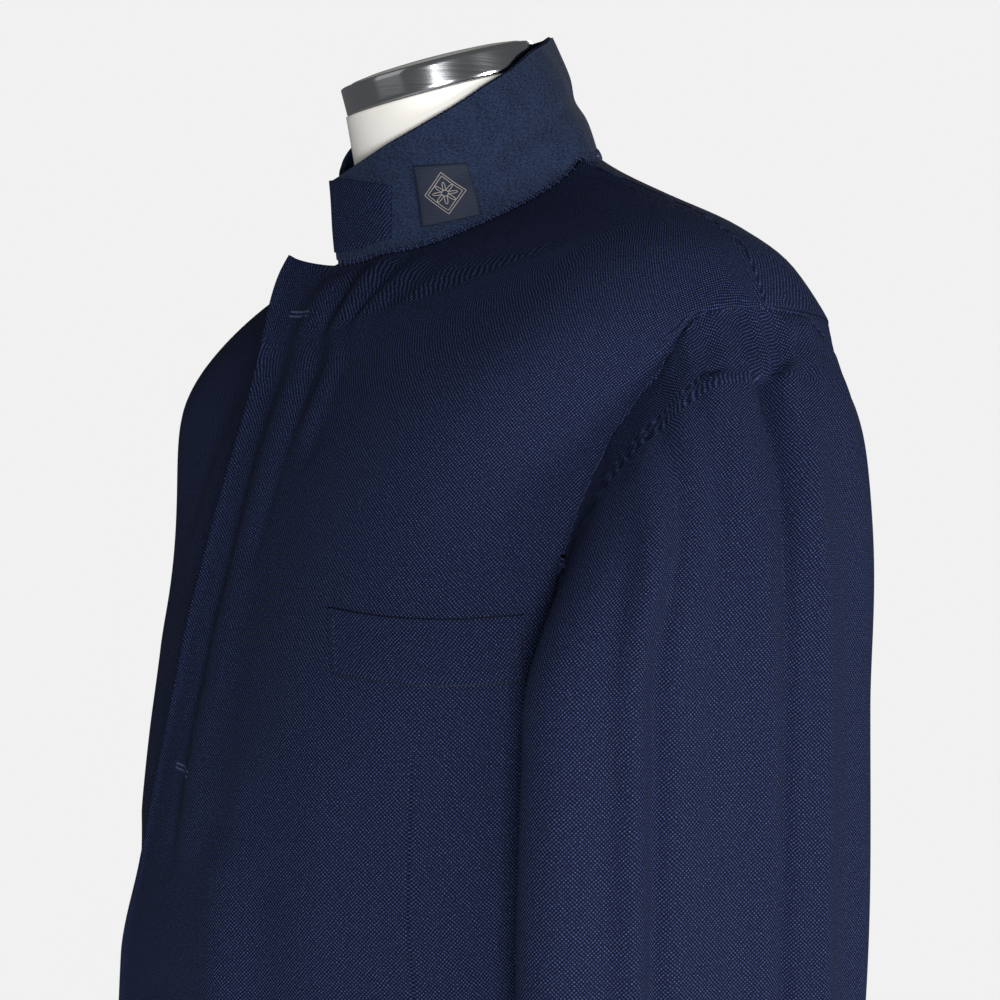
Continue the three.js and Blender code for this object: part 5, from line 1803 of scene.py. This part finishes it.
@dataclass
class Fastening:
    """Buttons on the centre front, and the buttonholes of the left front and its lapel."""

    room: Workroom
    radius: float = 10.5
    segments: int = 72
    heights: tuple[float, float, float] = (-362.0, -495.0, -628.0)

    def make(self) -> None:
        """Builds the buttons, then the buttonholes."""
        for name, z, thick, outside in zip(("button_top", "button_waist", "button_low"), self.heights,
                                           (2.4, 4.2, 2.4), (False, True, False)):
            self.button(name, z, thick, outside)
        self.buttonhole("front_buttonhole_1", (-9.0, 21.0), (-352.4, -355.0))
        self.buttonhole("front_buttonhole_2", (-9.0, 17.0), (-497.0, -497.0))
        self.buttonhole("front_buttonhole_3", (-9.0, 17.0), (-628.0, -628.0))
        self.buttonhole("lapel_buttonhole", (-26.0, -4.0), (-90.0, -93.5))

    def button(self, name: str, z: float, thick: float, outside: bool) -> None:
        """A four-hole button with a raised rim: one height above each place of a disc.

        Args:
            name: the solid that it replaces.
            z: its height.
            thick: its thickness.
            outside: whether it lies on the left front, and else between the fronts.
        """
        side = Side.LEFT if outside else Side.RIGHT
        middle, normal = cloth_at(side, np.array(0.0), np.array(-z))
        middle = middle + normal * (HALF_CLOTH + SEAM_GAP)
        axis = Vector(normal)
        turn = Vector((0, 0, 1)).rotation_difference(axis).to_matrix()
        rim = [(0, 0), (0.8, 0), (0.93, 0.1), (1, 0.32), (1, 0.68), (0.95, 0.94), (0.88, 1),
               (0.8, 0.98), (0.7, 0.86), (0.62, 0.74)]
        profile = np.array(rim + [(r, 0.7) for r in np.linspace(0.56, 0.04, 20)] + [(0, 0.7)])
        angle = np.linspace(0, 2 * np.pi, self.segments, endpoint=False)
        rows = len(profile)
        radius = profile[:, :1] * self.radius
        height = np.broadcast_to(profile[:, 1:] * thick, (rows, self.segments))
        x, y = radius * np.cos(angle), radius * np.sin(angle)
        pits = sum(bell(np.hypot(x - a * 2.0, y - b * 2.0), 0.85) ** 2 for a in (-1, 1) for b in (-1, 1))
        height = height - np.where(profile[:, 1:] > 0.6, np.clip(pits, 0, 1) * thick * 0.5, 0)
        local = np.stack([x, y, height], axis=-1) @ np.array(turn).T
        points = settle(middle + local)
        index = np.arange(rows * self.segments).reshape(rows, self.segments)
        after = np.roll(index, -1, axis=1)
        quads = np.stack([index[1:-2], after[1:-2], after[2:-1], index[2:-1]], axis=-1).reshape(-1, 4)
        faces = quads.tolist() + [index[1, ::-1].tolist(), index[-2].tolist()]
        mesh = bpy.data.meshes.new(f"{name}_horn")
        mesh.from_pydata(points.reshape(-1, 3), [], faces)
        drop_loose(mesh)
        mesh.polygons.foreach_set("use_smooth", np.ones(len(mesh.polygons), bool))
        self.room.place(mesh, self.room.horn, "button", name)
        t = np.linspace(-1, 1, 7)
        ways = np.array([[1.0, 1.0, -1.0, -1.0], [1.0, -1.0, -1.0, 1.0]])
        start = np.stack([ways[0] * 2.0, ways[1] * 2.0, np.full(4, 0.62 * thick)], axis=-1)
        end = np.stack([-ways[0] * 2.0, -ways[1] * 2.0, np.full(4, 0.62 * thick)], axis=-1)
        paths = mix(start[:2, None], end[:2, None], (t[None, :, None] + 1) / 2)
        paths[..., 2] += 0.9 * (1 - t**2)[None, :] * thick * 0.25
        placed = settle(middle + paths @ np.array(turn).T)
        outs = np.broadcast_to(normal, placed.shape)
        mesh = mesh_from_tubes(f"{name}_thread", placed, outs, np.full(7, 0.4 * MM))
        self.room.place(mesh, self.room.navy_thread, "button")

    def buttonhole(self, name: str, x: tuple[float, float], z: tuple[float, float]) -> None:
        """A worked buttonhole: stitches side by side along both lips, with a gap between them.

        Args:
            name: the piece's name.
            x: where it starts and ends across the left front.
            z: its heights there.
        """
        count = 46
        along = np.concatenate([np.linspace(0, 1, count), np.linspace(1, 0, count)])
        lip = np.concatenate([np.full(count, 1.0), np.full(count, -1.0)])
        lip = lip + 0.12 * np.sin(np.arange(2 * count) * 2.3)
        ways = np.linspace(0.3, 1.0, 5)
        place_x = mix(x[0], x[1], along)
        place_z = mix(z[0], z[1], along)
        offset = 1.9 * lip[:, None] * ways[None, :]
        want_z = place_z[:, None] + offset
        want_x = place_x[:, None] + 0 * offset
        key = np.array(-want_z)
        for _ in range(3):
            angle = angle_of_x(np.where(np.abs(want_x) < 0.02, 0.02, want_x), key)
            key = key + (left_point(angle, key)[..., 2] - want_z)
        middle, normal = cloth_at(Side.LEFT, angle, key)
        arch = HALF_CLOTH + 0.12 + 0.22 * np.sin(np.pi * np.linspace(0, 1, 5))
        points = middle + normal * arch[None, :, None]
        radius = np.array([0.18, 0.27, 0.3, 0.28, 0.18]) * MM
        mesh = mesh_from_tubes(name, settle(points), normal, radius, 5)
        self.room.place(mesh, self.room.navy_thread, "wool")


# What the blazer rests on


@dataclass
class DressForm:
    """The form: a padded torso, with a steel band and a plug at the top of its neck."""

    room: Workroom
    columns: int = 96
    rows: tuple[float, ...] = (
        0, 0.04, 0.2, 0.4, 0.6, 0.8, 1, 1.25, 1.5, 1.75, 2, 2.5, 3, 4, 5, 6, 6.5, 7, 7.5, 8, 8.5, 9, 9.5,
        10, 10.5, 11, 11.5, 12, 12.5, 13, 13.5, 14, 14.5, 14.9, 15)
    tilt: float = 16.5
    band_place: tuple[float, float, float] = (0.0, -40.0, 978.0)
    band_radius: float = 60.0
    band_wall: float = 3.0
    band_height: float = 17.0

    def ring(self, row: int, angle: Array) -> Array:
        """One ring of the form: its own section, or one a little under the cloth of the shoulder.

        Args:
            row: row of the form's table.
            angle: degrees all the way round.

        Returns:
            Points in millimetres.
        """
        shape = {name: column[row] for name, column in FORM_SECTIONS.items()}
        turn = np.where(angle > 180, 360 - angle, angle)
        flip = np.where(angle > 180, -1.0, 1.0)
        if shape["shoulder"]:
            key = np.full(angle.shape, shape["shoulder"])
            across = body_point(turn + 0.4, key) - body_point(turn - 0.4, key)
            down = body_point(turn, key + 0.5) - body_point(turn, key - 0.5)
            normal = unit(np.cross(down, across))
            hollow = 1 - np.abs(np.sin(np.radians(turn))) ** 16
            points = body_point(turn, key) - normal * (FORM_EASE + FORM_HOLLOW * hollow)[:, None]
        else:
            shape |= {"width_front": shape["width"], "width_back": shape["width"],
                      "square_front": shape["square"], "square_side": shape["square"],
                      "square_back": shape["square"], "fall_back": shape["fall"]}
            points = ring_point(shape, turn)
        points[:, 0] *= flip
        return points

    def make(self) -> None:
        """Builds the cover, the band and the plug."""
        angle = np.linspace(0, 360, self.columns, endpoint=False)
        rings = np.stack([self.ring(row, angle) for row in range(len(FORM_SECTIONS["width"]))])
        index = np.arange(len(rings), dtype=float)
        slopes = np.diff(rings, axis=0)
        product, total = slopes[:-1] * slopes[1:], slopes[:-1] + slopes[1:]
        inner = np.where(product > 0, 2 * product / np.where(total == 0, 1, total), 0)
        tangent = np.concatenate([slopes[:1], inner, slopes[-1:]])
        place = np.array(self.rows)
        i = np.minimum(place.astype(int), len(index) - 2)
        s = (place - i)[:, None, None]
        rise = rings[i + 1] - rings[i]
        points = (rings[i] + s * tangent[i] + s**2 * (3 * rise - 2 * tangent[i] - tangent[i + 1])
                  + s**3 * (tangent[i] + tangent[i + 1] - 2 * rise))
        top, bottom = points[0].mean(axis=0), points[-1].mean(axis=0)
        shrink = [mix(top, points[0], share) for share in (0.02, 0.5, 0.94, 0.985)]
        close = [mix(bottom, points[-1], share) for share in (0.985, 0.94, 0.5, 0.02)]
        points = np.concatenate([np.stack(shrink), points, np.stack(close)])
        outward = points - points.mean(axis=1, keepdims=True)
        outward[:4] += (0, 0, 60)
        outward[-4:] -= (0, 0, 60)
        mesh = mesh_from_grid("form_cover", settle(points), outward, ring=True)
        self.close_ends(mesh)
        self.room.place(mesh, self.room.cover, "form_cover", "form_body")
        self.neck_top()

    def close_ends(self, mesh: bpy.types.Mesh) -> None:
        """Closes the small holes at the middle of the form's top and bottom, and evens the winding.

        Args:
            mesh: changed in place.
        """
        work = bmesh.new()
        work.from_mesh(mesh)
        bmesh.ops.holes_fill(work, edges=[e for e in work.edges if e.is_boundary])
        bmesh.ops.recalc_face_normals(work, faces=work.faces)
        for face in work.faces:
            face.smooth = True
        work.to_mesh(mesh)
        work.free()

    def neck_top(self) -> None:
        """The polished band round the neck's top, and the plug inside it."""
        r, wall, high, low = self.band_radius, self.band_wall, self.band_height, SEAM_GAP
        place = np.array(self.band_place)
        band = np.array([
            (r - wall, low + 0.3), (r - wall + 0.3, low), (r - 1.0, low), (r - 0.4, low + 0.25),
            (r, low + 0.9), (r, low + 3), (r, high / 2), (r, high - 3), (r, high - 0.9),
            (r - 0.4, high - 0.25), (r - 1.0, high), (r - wall + 0.3, high), (r - wall, high - 0.3),
            (r - wall, high / 2), (r - wall, low + 0.3),
        ])
        mesh = mesh_from_profile("neck_band_steel", band, 160, self.tilt, place)
        self.room.place(mesh, self.room.polished, "steel", "neck_band")
        plug = r - wall - SEAM_GAP
        cap = np.array([
            (0, low), (plug - 0.6, low), (plug, low + 0.6), (plug, high - 1), (plug - 0.5, high - 0.3),
            (plug - 1.6, high + 0.4), (plug - 4, high + 1.5), (plug * 0.8, high + 2.6),
            (plug * 0.6, high + 3.5), (plug * 0.3, high + 4.3), (0, high + 4.5),
        ])
        mesh = mesh_from_profile("neck_plug_cover", cap, 96, self.tilt, place)
        self.room.place(mesh, self.room.cover, "form_cover", "neck_cap")


@dataclass
class CounterStand:
    """The flange under the form, the pole and the weighted base."""

    room: Workroom
    base_radius: float = 170.0
    base_height: float = 12.0
    boss_radius: float = 30.0
    boss_top: float = 34.0
    pole_radius: float = 15.0
    flange_radius: float = 55.0
    flange_height: float = 6.0
    form_bottom: float = 195.0
    fit: float = 0.3

    def make(self) -> None:
        """Builds the three turned pieces."""
        top = self.form_bottom - self.fit
        pole_top = top - self.flange_height - self.fit
        low, r = pole_top + self.fit, self.flange_radius
        flange = np.array([(0, low), (r - 1.2, low), (r - 0.4, low + 0.3), (r, low + 1.1), (r, top - 1.1),
                           (r - 0.4, top - 0.3), (r - 1.2, top), (0, top)])
        here = np.zeros(3)
        mesh = mesh_from_profile("stand_flange_steel", flange, 96, 0, here)
        self.room.place(mesh, self.room.brushed, "steel", "stand_flange")
        foot, r = self.base_height + self.fit, self.pole_radius
        pole = np.array([(0, foot), (r - 0.5, foot), (r, foot + 0.5), (r, foot + 40), (r, pole_top - 40),
                         (r, pole_top - 0.5), (r - 0.5, pole_top), (0, pole_top)])
        mesh = mesh_from_profile("stand_pole_steel", pole, 64, 0, here)
        self.room.place(mesh, self.room.brushed, "steel", "stand_pole")
        r, h, boss, peak = self.base_radius, self.base_height, self.boss_radius, self.boss_top
        hole = self.pole_radius + self.fit
        base = np.array([
            (0, 0), (r - 1, 0), (r - 0.3, 0.3), (r, 1), (r, h - 3), (r - 0.4, h - 1.5),
            (r - 1.5, h - 0.4), (r - 3, h), (boss + 14, h), (boss + 5, h + 0.6), (boss + 1.5, h + 3),
            (boss, h + 7), (boss - 1.6, peak - 4), (boss - 2.2, peak - 1.2), (boss - 3.4, peak - 0.2),
            (boss - 4.4, peak), (hole + 0.8, peak), (hole, peak - 0.8), (hole, h + 0.2), (hole - 0.2, h),
            (0, h),
        ])
        mesh = mesh_from_profile("stand_base_enamel", base, 128, 0, here)
        self.room.place(mesh, self.room.enamel, "enamel", "stand_base")


# Light, floor and camera


@dataclass
class Studio:
    """A pale floor that fades out, soft lights and the camera at the photograph's angle."""

    eye_height: float = 0.73
    distance: float = 1.3
    azimuth: float = 60.0
    focal_px: float = 2100.0
    backdrop: str = "#f1f1f1"
    floor_radius: float = 1.6
    floor_gap: float = 0.0006
    world_light: float = 0.12

    def make(self) -> None:
        """Builds the camera, the floor, the lights and the world."""
        self.camera()
        self.floor()
        self.light("key", (1.8, -0.95, 0.36), (0.1, -0.08, 0.6), 0.6, 39.0)
        self.light("right_fill", (2.1, 1.15, 0.7), (0.15, 0.0, 0.62), 0.6, 33.0)
        self.light("front_fill", (0.0, -2.6, 1.2), (0.0, 0.0, 0.7), 1.6, 3.0)
        self.light("back_rim", (-1.6, 1.6, 1.7), (0.0, 0.0, 0.8), 1.0, 7.0)
        self.world()
        bpy.context.scene.view_settings.view_transform = "Standard"

    def camera(self) -> None:
        """The camera: level, at the neck's height less 0.2 m, 60 degrees round from the front."""
        lens = bpy.data.cameras.new("photo_camera")
        lens.sensor_width = 36.0
        lens.lens = 36.0 * self.focal_px / 1000
        camera = bpy.data.objects.new("photo_camera", lens)
        a = np.radians(self.azimuth)
        camera.location = (self.distance * np.sin(a), -self.distance * np.cos(a), self.eye_height)
        camera.rotation_euler = (np.pi / 2, 0, a)
        bpy.context.scene.collection.objects.link(camera)
        bpy.context.scene.camera = camera

    def light(self, name: str, place: Sequence[float], target: Sequence[float], size: float,
              watts: float) -> None:
        """A square area light.

        Args:
            name: the light's name.
            place: metres, where it stands.
            target: metres, the point that it faces.
            size: metres, its side.
            watts: its power.
        """
        lamp = bpy.data.lights.new(name, "AREA")
        lamp.size, lamp.energy = size, watts
        holder = bpy.data.objects.new(name, lamp)
        holder.location = place
        holder.rotation_euler = (Vector(target) - Vector(place)).to_track_quat("-Z", "Y").to_euler()
        bpy.context.scene.collection.objects.link(holder)

    def floor(self) -> None:
        """A disc just under the stand, whose material fades to nothing towards its rim."""
        radius = np.linspace(0.02, self.floor_radius, 24)[:, None]
        turn = np.linspace(0, 2 * np.pi, 96, endpoint=False)[None, :]
        points = np.stack([radius * np.cos(turn), radius * np.sin(turn), 0 * radius * turn - self.floor_gap],
                          axis=-1)
        up = np.zeros(points.shape) + (0, 0, 1)
        mesh = mesh_from_grid("floor", points, up, ring=True)
        f = Finish.named("pale_floor")
        place = f.node("ShaderNodeTexCoord").outputs["Object"]
        reach = f.node("ShaderNodeVectorMath", {0: place}, operation="LENGTH").outputs["Value"]
        solid = f.node("ShaderNodeMapRange", {0: reach, 1: 0.7, 2: self.floor_radius, 3: 1.0, 4: 0.0},
                       interpolation_type="SMOOTHSTEP").outputs[0]
        f.surface(0.9, Base_Color=linear("#e6e6e6"), Specular_IOR_Level=0.1)
        f.material.node_tree.links.new(solid, f.shader.inputs["Alpha"])
        mesh.materials.append(f.material)
        floor = bpy.data.objects.new("floor", mesh)
        bpy.context.scene.collection.objects.link(floor)

    def world(self) -> None:
        """A pale backdrop for the eye, and a dimmer one as light."""
        world = bpy.data.worlds.new("studio")
        world.use_nodes = True
        tree = world.node_tree
        tree.nodes.clear()
        path = tree.nodes.new("ShaderNodeLightPath")
        seen, lights = tree.nodes.new("ShaderNodeBackground"), tree.nodes.new("ShaderNodeBackground")
        seen.inputs["Color"].default_value = linear(self.backdrop)
        lights.inputs["Color"].default_value = linear("#f2f4f8")
        lights.inputs["Strength"].default_value = self.world_light
        both, out = tree.nodes.new("ShaderNodeMixShader"), tree.nodes.new("ShaderNodeOutputWorld")
        tree.links.new(path.outputs["Is Camera Ray"], both.inputs[0])
        tree.links.new(lights.outputs[0], both.inputs[1])
        tree.links.new(seen.outputs[0], both.inputs[2])
        tree.links.new(both.outputs[0], out.inputs["Surface"])
        bpy.context.scene.world = world


def main() -> None:
    """Builds the studio, the form and the blazer, and reports each piece."""
    logging.basicConfig(level=logging.INFO, format="%(name)s: %(message)s")
    Studio().make()
    room = Workroom()
    DressForm(room).make()
    CounterStand(room).make()
    BodyPanels(room).make()
    Sleeves(room).make()
    Collar(room).make()
    Pockets(room).make()
    Fastening(room).make()


if __name__ == "__main__":
    main()
